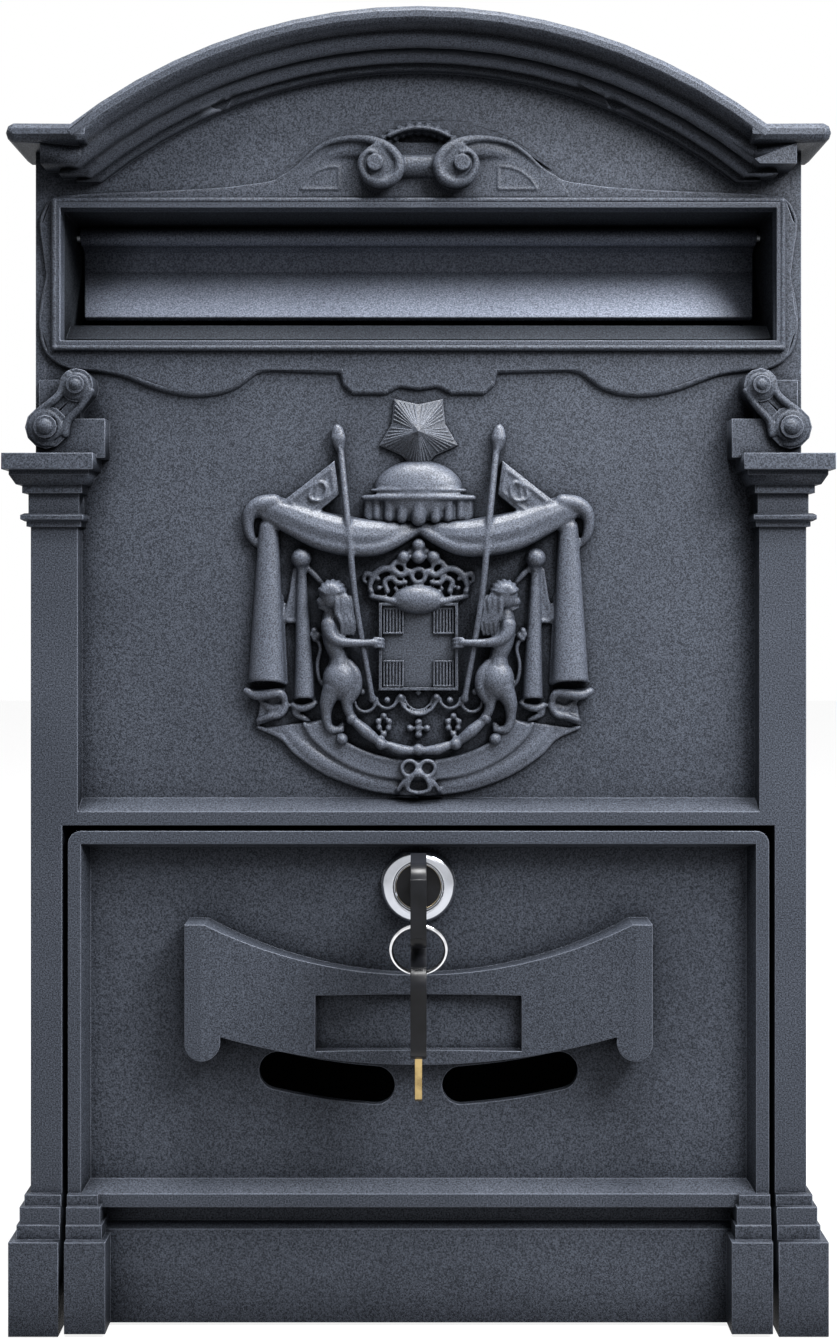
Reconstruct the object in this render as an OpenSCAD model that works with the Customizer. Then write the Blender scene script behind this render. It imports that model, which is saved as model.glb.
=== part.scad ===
// Wall letter box: arched cast front with heraldic relief, hanging letter flap, locking lower door.
// Front views are drawn in x and z, and raised to heights above the plain field of the front.

/* [Overall size] */
// Width over the pilaster shafts
body_w = 240; // [232:1:270]
// Height from the plinth to the crown of the roof
total_h = 408; // [404:1:450]
// Distance from the wall to the plain field of the front
field_depth = 79; // [70:1:120]

/* [Casting] */
// Wall thickness of the cast front
cast_t = 3; // [2.5:0.1:3.4]
// Depth of the casting's side walls behind the field
rim_depth = 15.5; // [12:0.5:22]
// Width of each pilaster shaft
shaft_w = 14.5; // [13:0.5:18]
// Height of the shafts and of the rail above the field
shaft_rise = 6.5; // [5:0.25:8]
// Width of the jamb beside the door
jamb_w = 9.7; // [9:0.1:11]

/* [Roof cornice] */
// Rise of the roof arch above its flat ends
roof_rise = 36; // [30:1:40]
// Length of each flat end beside the arch
roof_end = 20; // [18:0.5:24]
// Overhang of the cornice beyond the shafts
roof_overhang = 6.8; // [5:0.2:9]
// Thickness of the rolled top slab
roll_t = 6.1; // [5:0.1:7]
// Height of the cornice nose above the field
cornice_rise = 13; // [11:0.5:16]
// Radial width of the first stepped fillet
fillet_a = 4.6; // [3:0.1:6]
// Radial width of the second stepped fillet
fillet_b = 3.8; // [3:0.1:5]
// Radial width of the third stepped fillet
fillet_c = 2.6; // [2:0.1:4]

/* [Letter slot] */
// Width of the slot opening
slot_w = 223.4; // [200:0.2:224]
// Height of the slot opening
slot_h = 41.5; // [38:0.5:48]
// Distance from the flat roof ends down to the slot opening
slot_drop = 18; // [16:0.5:24]
// Width of the raised frame round the slot
frame_w = 2.7; // [2:0.1:4]
// Height of the raised slot frame above the field
frame_rise = 2.9; // [2:0.1:4]
// Depth of the recess behind the field
liner_depth = 36; // [34:1:44]
// Wall of the slot liner
liner_t = 1.5; // [1.2:0.1:1.7]
// Height that the sill rises towards the flap
sill_rise = 7.2; // [5:0.2:8]

/* [Letter flap] */
// Thickness of the flap sheet
flap_t = 1.5; // [1.2:0.1:2]
// Radius of the flap's hinge rod
rod_r = 1.5; // [1.2:0.1:1.8]
// Radial running clearance of the hinges
hinge_clear = 0.06; // [0.04:0.01:0.09]
// Distance of the rod behind the field, above the flap's centre of weight
rod_back = 22.9; // [21:0.1:25]
// Distance of the flap's upright part behind the rod
flap_set = 5.4; // [4:0.1:7]
// Height of the flap's upright part below the rod
flap_drop = 10.5; // [8:0.5:13]
// Height of the outward-bent lip
lip_h = 17; // [14:0.5:18]
// Reach of the lip towards the front
lip_out = 13; // [10:0.5:14]
// Gap at each end of the flap
flap_gap = 1.2; // [0.8:0.1:2]

/* [Capital and plinth] */
// Height of the abacus top above the base
capital_z = 270.5; // [262:0.5:285]
// Overhang of the abacus beyond the shafts
abacus_over = 7.5; // [6:0.25:9]
// Height of the abacus nose above the field
abacus_rise = 13; // [11:0.5:16]
// Height of the plinth blocks
plinth_h = 28.8; // [26:0.2:32]
// Overhang of the plinth beyond the shafts
plinth_over = 5.6; // [4:0.2:7]
// Height of the plinth face above the field
plinth_rise = 12; // [10:0.5:14]

/* [Door] */
// Height of the door's top edge above the base
door_top = 154; // [148:1:164]
// Gap round the door
door_gap = 1.8; // [1.2:0.1:2.4]
// Wall thickness of the door
door_t = 2.5; // [2:0.1:3]
// Gap below the door
door_lift = 0.8; // [0.5:0.1:1.5]
// Width of the door's raised rim
door_rim = 4; // [3:0.25:5]
// Radius of the door's upper corners
door_corner = 4; // [2:0.5:5]
// Depth of the door's side walls behind the field
skirt_depth = 8; // [7:0.5:9]
// Width of the door's own plinth blocks
foot_w = 12.6; // [11:0.2:14]
// Height of the base panel above the field
base_rise = 4; // [3:0.25:5]

/* [Door hinge] */
// Radius of the door pins
pin_r = 2; // [1.6:0.1:2.4]
// Height of the door pins above the base
pin_z = 7; // [6.5:0.25:8]
// Thickness of the hinge brackets
bracket_t = 1.5; // [1.2:0.1:2]

/* [Plaque] */
// Width of the bow-tie plaque
plaque_w = 143.6; // [130:0.2:150]
// Thickness of the plaque at its ends
plaque_end_t = 11; // [8:0.5:12]
// Thickness of the plaque at its middle
plaque_mid_t = 4; // [3:0.25:5]
// Height of the plaque at its middle
plaque_h = 28; // [26:0.5:32]
// Width of the name recess
name_w = 64; // [50:1:70]
// Height of the name recess
name_h = 17.3; // [14:0.1:19]
// Width of the view slots
view_h = 12; // [9:0.5:13]

/* [Lock] */
// Drop of the lock below the door's top edge
lock_drop = 17.9; // [17:0.1:20]
// Radius of the lock bezel
bezel_r = 11.7; // [11:0.1:12.5]
// Radius of the lock barrel
barrel_r = 9; // [8.5:0.1:9.5]
// Radius of the turning plug
plug_r = 7.4; // [6.8:0.1:7.8]
// Length of the barrel behind the field
barrel_len = 12.8; // [12:0.1:14]
// Length of the cam from the lock's axis
cam_len = 27; // [25:0.5:29]
// Thickness of the cam
cam_t = 2.4; // [2:0.1:3]

/* [Keys] */
// Width of a key bow
bow_w = 25; // [22:0.5:28]
// Length of a key bow
bow_l = 29; // [26:0.5:32]
// Thickness of a key bow
bow_t = 4.7; // [4:0.1:5.5]
// Thickness of a key blade
blade_t = 2.2; // [1.8:0.1:2.4]
// Width of a key blade
blade_w = 7.6; // [6.5:0.1:8]
// Length of a key blade outside its bow
blade_l = 18; // [16:0.5:20]
// Length of the blade that stays outside the lock
blade_out = 7; // [5:0.5:9]
// Radius of the ring to the middle of its wire
ring_r = 8.1; // [7.5:0.1:9]
// Radius of the ring's wire
wire_r = 0.65; // [0.5:0.05:0.8]
// Lean of the ring towards the door, in degrees
ring_lean = 20; // [10:1:25]
// Lean of the spare key towards the door, in degrees
spare_lean = 12; // [5:1:15]

/* [Casing] */
// Thickness of the casing and back sheet
sheet_t = 1.2; // [1:0.1:1.5]
// Width of the casing's turned-in front flange
flange_w = 13; // [12:0.5:14]
// Clearance between the casting and the casing
case_clear = 0.2; // [0.1:0.05:0.3]
// Height of the wall holes' centre above the base
wall_hole_z = 205; // [190:1:230]
// Sideways distance between the wall holes
wall_hole_x = 150; // [120:5:170]
// Upright distance between the wall holes
wall_hole_h = 200; // [160:5:240]
// Radius of the wall holes
wall_hole_r = 3.25; // [2.5:0.05:4]
// Depth of the back sheet's turned edge
back_edge = 11; // [10:0.5:14]
// Radius of the back sheet's rivets
rivet_r = 1.6; // [1.2:0.1:2]
// Height of the lowest rivets above the base
rivet_low = 60; // [50:1:90]
// Distance of the highest rivets below the casing's shoulder
rivet_drop = 36; // [20:1:50]
// How far the case screws reach into the casting
screw_bite = 6; // [4:0.5:7]

/* [Hidden] */
$fn = 48;

black_coat = "#33363b";
inner_sheet = "#4a4d52";
zinc = "#9aa0a6";
chrome = "#d9dce0";
brass = "#c9a45c";
bow_black = "#1c1d20";

// Small overlap that joins solids of one piece
join = 0.05;
// Radial clearance of screws, rivets and lock parts in their holes
fit_clear = 0.08;
// Depth that the plate and the fillets reach into the roof's rolled slab
sink = 0.8;

half_w = body_w / 2;
field_half = half_w - shaft_w;
slab_top = total_h - roof_rise;
shoulder_z = slab_top - roll_t;
arch_half = half_w + roof_overhang - roof_end;
roof_r = (arch_half * arch_half + roof_rise * roof_rise) / (2 * roof_rise);
roof_cz = total_h - roof_r;
arch_span = asin(arch_half / roof_r);
body_r = roof_r - roll_t;

slot_top = shoulder_z - slot_drop;
slot_bottom = slot_top - slot_h;
slot_half = slot_w / 2;
rod_z = slot_top - 3.6;

opening_half = half_w - jamb_w;
door_half = opening_half - door_gap;
opening_top = door_top + door_gap;
rail_top = opening_top + 4.2;
sill_bevel = 3.5;
lock_z = door_top - lock_drop;
rib_back = 12.5;

casing_half = half_w - cast_t - case_clear;
casing_front = skirt_depth + 0.3;
pin_back = 8;

screw_r = 1.4;
head_r = 2.6;
head_t = 1.6;

crest_z = (rail_top + slot_bottom - 46) / 2;

// A front view raised from one height above the field to another
module slab(low, high) {
  translate([0, -field_depth - low, 0])
    rotate([90, 0, 0])
      linear_extrude(high - low)
        children();
}

// A rectangle between two corners
module rect(x0, z0, x1, z1) {
  translate([x0, z0]) square([x1 - x0, z1 - z0]);
}

// A block between two x and z corners and two heights above the field
module block(x0, z0, x1, z1, low, high) {
  slab(low, high) rect(x0, z0, x1, z1);
}

// The same shape on the left and on the right
module pair() {
  children();
  mirror([1, 0, 0]) children();
}

// A cylinder towards the viewer between two heights above the field
module stud(x, z, r, low, high) {
  slab(low, high) translate([x, z]) circle(r);
}

// Everything is placed with the wall holes' centre at the origin
module placed() {
  translate([0, 0, -wall_hole_z]) children();
}

// Outline of the box behind the cornice, moved inwards by a distance
module body_outline(inset) {
  half = half_w - inset;
  rect(-half, inset, half, shoulder_z + sink - inset);
  intersection() {
    translate([0, roof_cz]) circle(body_r + sink - inset, $fn = 84);
    rect(-half, shoulder_z - 2 * inset - 20, half, total_h);
  }
}

// Rolled slab of the cornice: the arch and its flat ends with their side returns
module roll_profile() {
  nose = roll_t / 2;
  translate([roof_r - roll_t, field_depth - rim_depth])
    square([roll_t, rim_depth + cornice_rise - nose]);
  translate([roof_r - nose, field_depth + cornice_rise - nose])
    circle(nose, $fn = 10);
}

module roll_end() {
  nose = roll_t / 2 - 0.1;
  end_x = half_w + roof_overhang;
  start_x = (roof_r - roll_t) * sin(arch_span) - 1;
  mid_z = slab_top - roll_t / 2;
  front_y = -field_depth - cornice_rise + roll_t / 2 + join;
  back_y = -field_depth + rim_depth;
  hull() {
    translate([start_x, front_y, mid_z])
      rotate([0, 90, 0]) cylinder(h = end_x - nose - start_x, r = nose, $fn = 10);
    translate([end_x - nose, back_y, mid_z])
      rotate([90, 0, 0]) cylinder(h = back_y - front_y, r = nose, $fn = 10);
    translate([end_x - nose, front_y, mid_z]) sphere(nose, $fn = 10);
    translate([start_x, back_y - 1, mid_z - nose]) cube([1, 1, 2 * nose]);
  }
}

module roll() {
  translate([0, 0, roof_cz])
    rotate([90, 0, 0])
      rotate([0, 0, 89.3 - arch_span])
        rotate_extrude(angle = 2 * arch_span + 1.4, $fn = 84) roll_profile();
  pair() roll_end();
}

// One stepped fillet below the roll: an arched band with a short level foot at each end
module fillet_band(outer, width, foot_z, foot_x, rise) {
  slab(-1, rise)
    difference() {
      intersection() {
        union() {
          translate([0, roof_cz]) circle(outer + 2 * sink, $fn = 84);
          rect(-foot_x, foot_z, foot_x, shoulder_z + 2 * sink);
        }
        rect(-foot_x, foot_z, foot_x, total_h);
      }
      translate([0, roof_cz]) circle(outer - width, $fn = 84);
    }
}

module cornice() {
  rise_step = (cornice_rise - 4) / 3;
  roll();
  fillet_band(body_r, fillet_a, shoulder_z - 6.2, half_w - 3.7, 4 + 2 * rise_step);
  fillet_band(body_r - fillet_a, fillet_b, shoulder_z - 8.5, half_w - 8.7, 4 + rise_step);
  fillet_band(body_r - fillet_a - fillet_b, fillet_c, shoulder_z - 9.8, half_w - 13.3, 3.6);
}

// Plain plate of the front, arched side walls and the openings
module front_plate() {
  difference() {
    union() {
      slab(-cast_t, 0) body_outline(0);
      slab(-rim_depth, join)
        difference() {
          body_outline(0);
          body_outline(cast_t);
          rect(-casing_half, -1, casing_half, cast_t + 1);
        }
    }
    block(-opening_half, -1, opening_half, opening_top, -rim_depth - 1, 1);
    block(-slot_half, slot_bottom, slot_half, slot_top, -rim_depth, 1);
  }
}

// One pilaster shaft, from the base to the capital
module shaft() {
  block(opening_half, 0, half_w, opening_top + 1, -cast_t, shaft_rise);
  block(field_half, opening_top, half_w, capital_z - 8, -cast_t, shaft_rise);
}

// Hollow behind a shaft
module shaft_pocket() {
  block(field_half + cast_t, rail_top + 2, half_w - cast_t, capital_z - 22, -cast_t - 1, shaft_rise - cast_t);
}

// Rail between the field and the door, with the bevelled sill and the rib that the cam catches
module rail() {
  block(-field_half - 1, opening_top, field_half + 1, rail_top, -cast_t, shaft_rise);
  hull() {
    block(-field_half - join, rail_top - 1, field_half + join, rail_top, -1, shaft_rise);
    block(-field_half - join, rail_top - 1, field_half + join, rail_top + sill_bevel, -1, join);
  }
  block(-60, opening_top, 60, opening_top + cast_t, -rib_back, 0);
}

// Mouldings of one capital: upper edge, height, inner reach, outer reach and height above the field
module capital_front(s) {
  block(field_half - s[2], s[0] - s[1], half_w + s[3], s[0], -2, s[4]);
}

module capital_side(s) {
  block(half_w - cast_t, s[0] - s[1], half_w + s[3], s[0], -rim_depth, s[4]);
}

module capital_step(s) {
  capital_front(s);
  capital_side(s);
}

// A sloping moulding between two steps, on the front and along the side
module capital_slope(a, b) {
  hull() {
    capital_front(a);
    capital_front(b);
  }
  hull() {
    capital_side(a);
    capital_side(b);
  }
}

module capital() {
  z0 = capital_z;
  capital_step([z0, 5, 6, abacus_over, abacus_rise]);
  capital_slope(
    [z0 - 4.9, 1.6, 4.4, abacus_over - 1.8, abacus_rise - 2],
    [z0 - 8, 1.4, 3, abacus_over - 3.6, abacus_rise - 3.4]
  );
  capital_step([z0 - 9.2, 2.8, 1.8, 2.2, shaft_rise + 2]);
  capital_step([z0 - 12, 6.4, 0.6, 0.6, shaft_rise + 0.5]);
  capital_slope(
    [z0 - 18.2, 2.5, 1.4, 1.6, shaft_rise + 1.4],
    [z0 - 18.8, 1.3, 2.2, 2.7, shaft_rise + 2.4]
  );
  capital_step([z0 - 20.6, 1.7, 1.3, 1.1, shaft_rise + 1]);
}

// Scrolled console that stands on the capital
module console() {
  $fn = 12;
  low_x = half_w - 5.4;
  high_x = half_w - 14.6;
  low_z = capital_z + 8.2;
  high_z = capital_z + 21.2;
  block(half_w - 23.2, capital_z - 1, half_w - 2, capital_z + 11, -1, 7.5);
  block(half_w - 15, capital_z - 1, half_w - 2, capital_z + 23.5, -1, 4);
  stud(low_x, low_z, 6.6, -1, 9);
  stud(high_x, high_z, 5.2, -1, 9);
  hull() {
    stud(low_x - 4.2, low_z + 2.2, 2, -1, 8.4);
    stud(high_x - 3, high_z - 1.6, 1.8, -1, 8.4);
  }
  hull() {
    stud(low_x + 0.5, low_z + 4.5, 2, -1, 8.4);
    stud(high_x + 2.6, high_z - 2.4, 2, -1, 8.4);
  }
  stud(low_x, low_z, 3.6, 0, 11);
  stud(high_x, high_z, 2.8, 0, 11);
}

// Stepped plinth at one foot of the casting
module plinth() {
  steps = [
    [0, plinth_h, plinth_over, plinth_rise],
    [plinth_h, 4.4, plinth_over - 2, plinth_rise - 2.2],
    [plinth_h + 4.4, 5.3, plinth_over - 2.8, plinth_rise - 2.8],
    [plinth_h + 9.7, 3.4, plinth_over - 4, plinth_rise - 4]
  ];
  for (s = steps) {
    block(opening_half, s[0], half_w + s[2], s[0] + s[1] + join, -cast_t, s[3]);
    block(half_w - cast_t, s[0], half_w + s[2], s[0] + s[1] + join, -rim_depth, s[3]);
  }
}

// Points along a quarter wave from one point to another, level at both ends
function wave(a, b, n) = [for (i = [0:n]) [a[0] + (b[0] - a[0]) * i / n, (a[1] + b[1]) / 2 + (a[1] - b[1]) / 2 * cos(180 * i / n)]];

// Right half of the low apron that carries the slot frame and the scroll ornament
function apron_side() = let(
    t = slot_top,
    b = slot_bottom,
    w = slot_half
  ) concat(
    [[0, t + 24], [12, t + 22], [19, t + 22.5]],
    wave([27, t + 20.6], [48, t + 8.2], 6),
    [[64, t + 6], [w - 6, t + 4.2]],
    wave([w + 2.6, t + 2.6], [w + 6.4, t - 5], 4),
    wave([w + 6.4, t - 9], [w + 4.4, t - 20.6], 4),
    wave([w + 4.4, t - 22], [w + 6.8, b + 7], 4),
    wave([w + 6.8, b + 4], [w + 2.6, b - 5.6], 3),
    [[w - 3, b - 8.6], [w - 9, b - 8.6]],
    wave([w - 12, b - 8.7], [w - 44, b - 16.4], 6),
    wave([w - 50, b - 15.4], [w - 62, b - 8.8], 4),
    [[23.8, b - 9], [22.8, b - 13.4], [20.4, b - 15.6], [10.5, b - 15.6], [6.2, b - 13.4], [0, b - 14.4]]
  );

module apron_shape() {
  right = apron_side();
  left = [for (i = [len(right) - 1:-1:0]) [-right[i][0], right[i][1]]];
  polygon(concat(right, left));
}

module apron() {
  difference() {
    union() {
      slab(-1, 1.4) apron_shape();
      block(-slot_half - frame_w, slot_bottom - frame_w, slot_half + frame_w, slot_top + frame_w, -1, 2.2);
      block(-slot_half - 1.6, slot_bottom - 1.6, slot_half + 1.6, slot_top + 1.6, -1, frame_rise);
    }
    block(-slot_half, slot_bottom, slot_half, slot_top, -2, frame_rise + 1);
  }
}

// Scroll ornament above the slot: two volutes under a beaded shell
module scroll_ornament() {
  $fn = 10;
  z0 = slot_top + 12;
  pair() {
    slab(-1, 6) translate([12.6, z0]) circle(7.1, $fn = 20);
    stud(13, z0, 3.3, 0, 8.4);
    hull() {
      stud(14, z0 + 5.6, 1.8, -1, 5);
      stud(7, z0 + 7.6, 1.6, -1, 4.6);
    }
    hull() {
      stud(18.6, z0 + 9.6, 1.4, -1, 3.6);
      stud(9, z0 + 8.2, 1.4, -1, 3.6);
    }
    hull() {
      stud(19, z0 + 9.6, 1.2, -1, 3.2);
      stud(29, z0 + 7.4, 1, -1, 2.4);
    }
    hull() {
      stud(29, z0 + 7.4, 1, -1, 2.4);
      stud(42, z0 - 0.8, 0.8, -1, 1.8);
    }
    slab(-1, 2.4)
      intersection() {
        translate([26, z0 - 5.2]) circle(9.6, $fn = 20);
        rect(26, z0 - 5.2, 37, z0 + 3.6);
      }
  }
  hull() {
    stud(0, z0 + 9, 5, -1, 3.2);
    pair() stud(6.4, z0 + 8, 3.4, -1, 3);
  }
  for (i = [-3:3])
    slab(-1, 4.4) translate([3.3 * i, z0 + 11.6 - 0.32 * i * i]) circle(1.5, $fn = 6);
  hull() pair() stud(4.6, z0 + 6.6, 2.8, -1, 5.2);
  block(-3.6, z0 - 4.4, 3.6, z0 + 4, -1, 3.4);
}

// Where a point of the relief lies: x, height above the relief's centre, height above the field
function at(p) = [p[0], -field_depth - p[2], crest_z + p[1]];

// A rounded knob of the relief, rooted in the plate
module ball(p, r) {
  root = 0.6;
  translate([p[0], -field_depth + root, crest_z + p[1]])
    rotate([90, 0, 0])
      cylinder(h = root + p[2] + 0.85 * r, r1 = 1.1 * r, r2 = 0.5 * r, $fn = r < 1.3 ? 5 : r < 3 ? 6 : 8);
}

module limb(p, q, rp, rq) {
  hull() {
    ball(p, rp);
    ball(q, rq);
  }
}

// A chain of limbs whose thickness changes evenly from one end to the other
module strand(path, r0, r1) {
  last = len(path) - 2;
  for (i = [0:last])
    limb(path[i], path[i + 1], r0 + (r1 - r0) * i / (last + 1), r0 + (r1 - r0) * (i + 1) / (last + 1));
}

// A flat shape of the relief, drawn round the relief's centre
module leaf(points, high) {
  slab(-1, high) translate([0, crest_z]) polygon(points);
}

module star() {
  tip_r = 12.8;
  notch_r = 8.7;
  points = [for (i = [0:9]) (i % 2 == 0 ? tip_r : notch_r) * [sin(36 * i + 180), cos(36 * i + 180)]];
  translate([0, -field_depth, crest_z + 67.4])
    rotate([90, 0, 0])
      linear_extrude(5, scale = 0.02) polygon(points);
}

module dome_canopy() {
  hull() {
    intersection() {
      translate(at([0, 48.6, 0])) scale([14.2, 5.6, 10.2]) sphere(1, $fn = 12);
      block(-20, crest_z + 48.6, 20, crest_z + 60, -1, 8);
    }
  }
  limb([-16.6, 47, 2.4], [16.6, 47, 2.4], 1.3, 1.3);
  limb([-14.4, 48.6, 2.6], [14.4, 48.6, 2.6], 1.2, 1.2);
  for (i = [-4:4])
    limb([3.7 * i, 44.6, 3], [3.72 * i, 40.2, 3.2 - 0.08 * i * i], 1.9, 1.8);
}

module mantle() {
  leaf([[-53.8, 38], [-53, 45], [-48, 48.2], [-42, 48], [-35, 43], [-24, 40.4], [-17, 40.8], [-10, 38.6],
    [0, 37.4], [-4, 34], [-13, 29.6], [-21, 28.6], [-30, 31], [-38, 37], [-44, 41], [-49.6, 40.6]], 3.4);
  strand([[-0.6, 37, 2], [-6, 33.4, 2.6], [-13.6, 30.4, 3], [-21, 29.8, 3.2], [-29.4, 32, 3.2], [-36.6, 36.8, 3],
    [-43.2, 41.2, 3]], 2.2, 3);
  strand([[-43.2, 43.6, 2.6], [-48.6, 43.8, 2.6], [-52.4, 39.6, 2.4], [-52.4, 34.6, 2], [-51, 32.2, 1.4]], 3.2, 1.3);
}

// A hanging drape: round folds side by side that spread towards the hem
module drape(top, bottom, rt, rb) {
  limb(top, bottom, rt, rb);
}

module drapes() {
  drape([-46, 36, 0.6], [-45, -10.4, 0.8], 3.2, 4);
  drape([-49.6, 35, 0.4], [-50.2, -10, 0.6], 2.6, 3.8);
  strand([[-52, -13.6, 0.8], [-46.6, -15, 1.6], [-42.4, -17, 1.4], [-42.8, -20, 1.2], [-49, -22.6, 0.6]], 1.9, 1.4);
  ball([-36.9, 27.9, 1.6], 3.3);
  drape([-36.8, 24, 0.8], [-36, -16.6, 0.8], 1.8, 3.4);
  limb([-39.6, 22, 0.2], [-40.6, 9.4, 0.2], 0.9, 1.7);
  limb([-35.4, 24.6, 0.6], [-30.8, 20.6, 0.6], 1, 1);
  strand([[-38.4, -18.6, 0.8], [-33.6, -18.4, 1.2], [-33, -20.6, 1], [-38.6, -22, 0.6]], 1.5, 1.2);
}

module lance() {
  strand([[-25.2, 68.4, 1.2], [-24.9, 64.6, 1.6], [-24.3, 60.6, 1.4]], 0.7, 1.1);
  ball([-24.9, 64.6, 1.2], 2.4);
  limb([-24.3, 60.6, 2.4], [-21.4, 34, 4.6], 1.1, 1.1);
  limb([-21.4, 34, 4.6], [-14.5, -15.8, 2], 1.1, 0.9);
  ball([-14.4, -16.4, 1.6], 1.4);
}

module pennon() {
  leaf([[-25.4, 57.6], [-42.2, 45.3], [-35.4, 38.6], [-23.6, 47.7]], 3.9);
  translate([0, 0, 0]) leaf([[-33.4, 50.4], [-30, 51.8], [-28.2, 48.6], [-30.4, 45], [-34, 46.6]], 4.5);
}

module crown() {
  ball([0, 32.2, 1.6], 2.1);
  pair() ball([4.7, 27.9, 1.6], 2.1);
  ball([0, 28, 2], 2.1);
  translate(at([0, 22.6, 1.8])) rotate([90, 0, 0]) rotate_extrude($fn = 10) translate([2.4, 0]) circle(0.8, $fn = 5);
  pair() {
    strand([[-3.6, 24.4, 1.6], [-7.4, 26, 1.4], [-10.6, 23.6, 1.4], [-13.6, 21.4, 1.2], [-15.2, 18.4, 1]], 1.1, 1);
    strand([[-3.4, 21.6, 1.4], [-7.2, 22, 1.2], [-9.8, 18.6, 1.2]], 0.9, 1.2);
    ball([-13.4, 17.6, 1], 1.3);
  }
  hull() {
    limb([-4.6, 14.6, 1.4], [4.6, 14.6, 1.4], 3.2, 3.2);
    ball([0, 15.6, 2], 3.6);
  }
  leaf([[-15, 16], [15, 16], [12.4, 13], [-12.4, 13]], 2.6);
}

module shield() {
  frame = 1.2;
  half = 12.3;
  quarter = 6;
  slab(-1, 2.6)
    translate([0, crest_z])
      difference() {
        rect(-half, -half - 1.2, half, half + 1.1);
        rect(-half + frame, -half - 1.2 + frame, half - frame, half + 1.1 - frame);
      }
  block(-half + 0.4, crest_z - half - 0.8, half - 0.4, crest_z + half + 0.7, -1, 1.3);
  for (x0 = [-10.7, 4.6])
    for (z0 = [-12.2, 4.3])
      for (i = [0:4])
        block(x0 + 1.3 * i, crest_z + z0, x0 + 1.3 * i + 0.7, crest_z + z0 + 8, 0, 2.1);
}

// One upright lion that holds the shield
module lion() {
  ball([-26.6, 18, 2.6], 4.2);
  limb([-29.4, 16.4, 3.4], [-30.6, 15.6, 2.8], 1.6, 1.2);
  strand([[-24.4, 20, 2.6], [-21.8, 15.6, 2.8], [-21.6, 9.6, 2.6], [-21.6, 5, 2]], 2.6, 1.6);
  limb([-26.4, 13, 2.6], [-23.6, 6, 2.4], 2.8, 2);
  strand([[-27.4, 8, 2.4], [-26.8, 2, 2.6], [-25.4, -5, 2]], 3.2, 2.8);
  strand([[-27.6, 7.4, 3.6], [-24.6, 1.2, 4.2], [-17, 1.5, 3.8], [-12.4, 1.7, 2.8]], 2, 1.2);
  limb([-25.2, -8.6, 2], [-25.6, -13.2, 1.8], 4.6, 4);
  strand([[-25.6, -13, 2], [-28.4, -18.6, 2], [-28.6, -23.4, 1.8], [-25.6, -25.6, 1.6]], 3.2, 1.2);
  strand([[-23.4, -13, 2.2], [-20.8, -17.6, 2.2], [-21.6, -22, 1.8]], 2.6, 1.4);
  strand([[-29.6, -12, 1], [-31.2, -5.6, 1], [-30, 0, 1], [-31.4, 3.6, 1.2]], 0.9, 1.7);
}

module collar_of_beads() {
  for (a = [[0, -15.4, 5.6], [-9.4, -16.2, 3.4], [9.4, -16.2, 3.4], [-16.2, -17.2, 3.2], [16.2, -17.2, 3.2]])
    translate(at([a[0], a[1], 1]))
      rotate([90, 0, 0])
        rotate([0, 0, 180])
          rotate_extrude(angle = 180, $fn = 12) translate([a[2], 0]) circle(0.7, $fn = 4);
  pair() {
    for (b = [[-17.4, -14], [-9.4, -16.6], [-12.2, -22.4], [-9, -22.4], [-10.6, -25.4]])
      ball([b[0], b[1], 0.8], 1.1);
    limb([-19, -22.6, 1.6], [-13.6, -27.6, 1.8], 1.6, 1.7);
    ball([-11.3, -30, 1.8], 2);
    limb([-8.8, -30.6, 1.8], [-2.8, -32, 1.8], 1.5, 1.5);
    ball([-23.5, -28.6, 1.6], 2);
  }
  ball([0, -32.2, 1.8], 1.9);
  for (b = [[0, -23.6], [-2.3, -25.4], [2.3, -25.4], [0, -27.2]]) ball([b[0], b[1], 0.8], 1.2);
}

// Gathered hem of the mantle below the shield
module hem() {
  cx = 0;
  outer = 57;
  slab(-1, 1.7)
    translate([cx, crest_z + 10.4])
      difference() {
        intersection() {
          circle(outer, $fn = 48);
          polygon([[0, 0], [-66, -44], [-66, -70], [66, -70], [66, -44]]);
        }
        circle(outer - 10.5, $fn = 48);
      }
  slab(-1, 2.8)
    translate([cx, crest_z + 10.4])
      difference() {
        intersection() {
          circle(outer - 4.6, $fn = 48);
          polygon([[0, 0], [-52, -44], [-52, -70], [52, -70], [52, -44]]);
        }
        circle(outer - 14, $fn = 48);
      }
  for (a = [-34, -17, 17, 34])
    limb([(outer - 13) * sin(a), 10.4 - (outer - 13) * cos(a), 0.6], [(outer - 3) * sin(a), 10.4 - (outer - 3) * cos(a), 0.2], 2.2, 2.8);
}

module knot() {
  for (k = [[-2.7, -37.2, 2.1], [2.7, -37.2, 2.1], [0, -43, 3]])
    translate(at([k[0], k[1], 2.6]))
      rotate([90, 0, 0]) rotate_extrude($fn = 8) translate([k[2], 0]) circle(0.95, $fn = 4);
  pair() strand([[-2.8, -39.6, 2.6], [-5, -42, 2.4], [-6.2, -45, 1.6]], 0.9, 0.9);
}

// The relief on the sunk field, cut off just inside the plate
module crest() {
  intersection() {
    union() {
      star();
      dome_canopy();
      crown();
      shield();
      collar_of_beads();
      hem();
      knot();
      pair() {
        mantle();
        drapes();
        pennon();
        lance();
        lion();
      }
    }
    block(-70, rail_top, 70, crest_z + 90, -1, 12);
  }
}

// Bosses on the back that take the casing's screws
boss_x = half_w - 7.25;
boss_places = [
  [boss_x, rail_top + 12], [boss_x, capital_z - 32],
  [62, roof_cz + sqrt(pow(body_r - 8, 2) - pow(62, 2))]
];
boss_r = 3.5;
liner_screw_x = 70;
liner_flange = 6;
liner_screw_z = [slot_top + liner_t + 3.2, slot_bottom - liner_t - 3.2];

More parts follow.
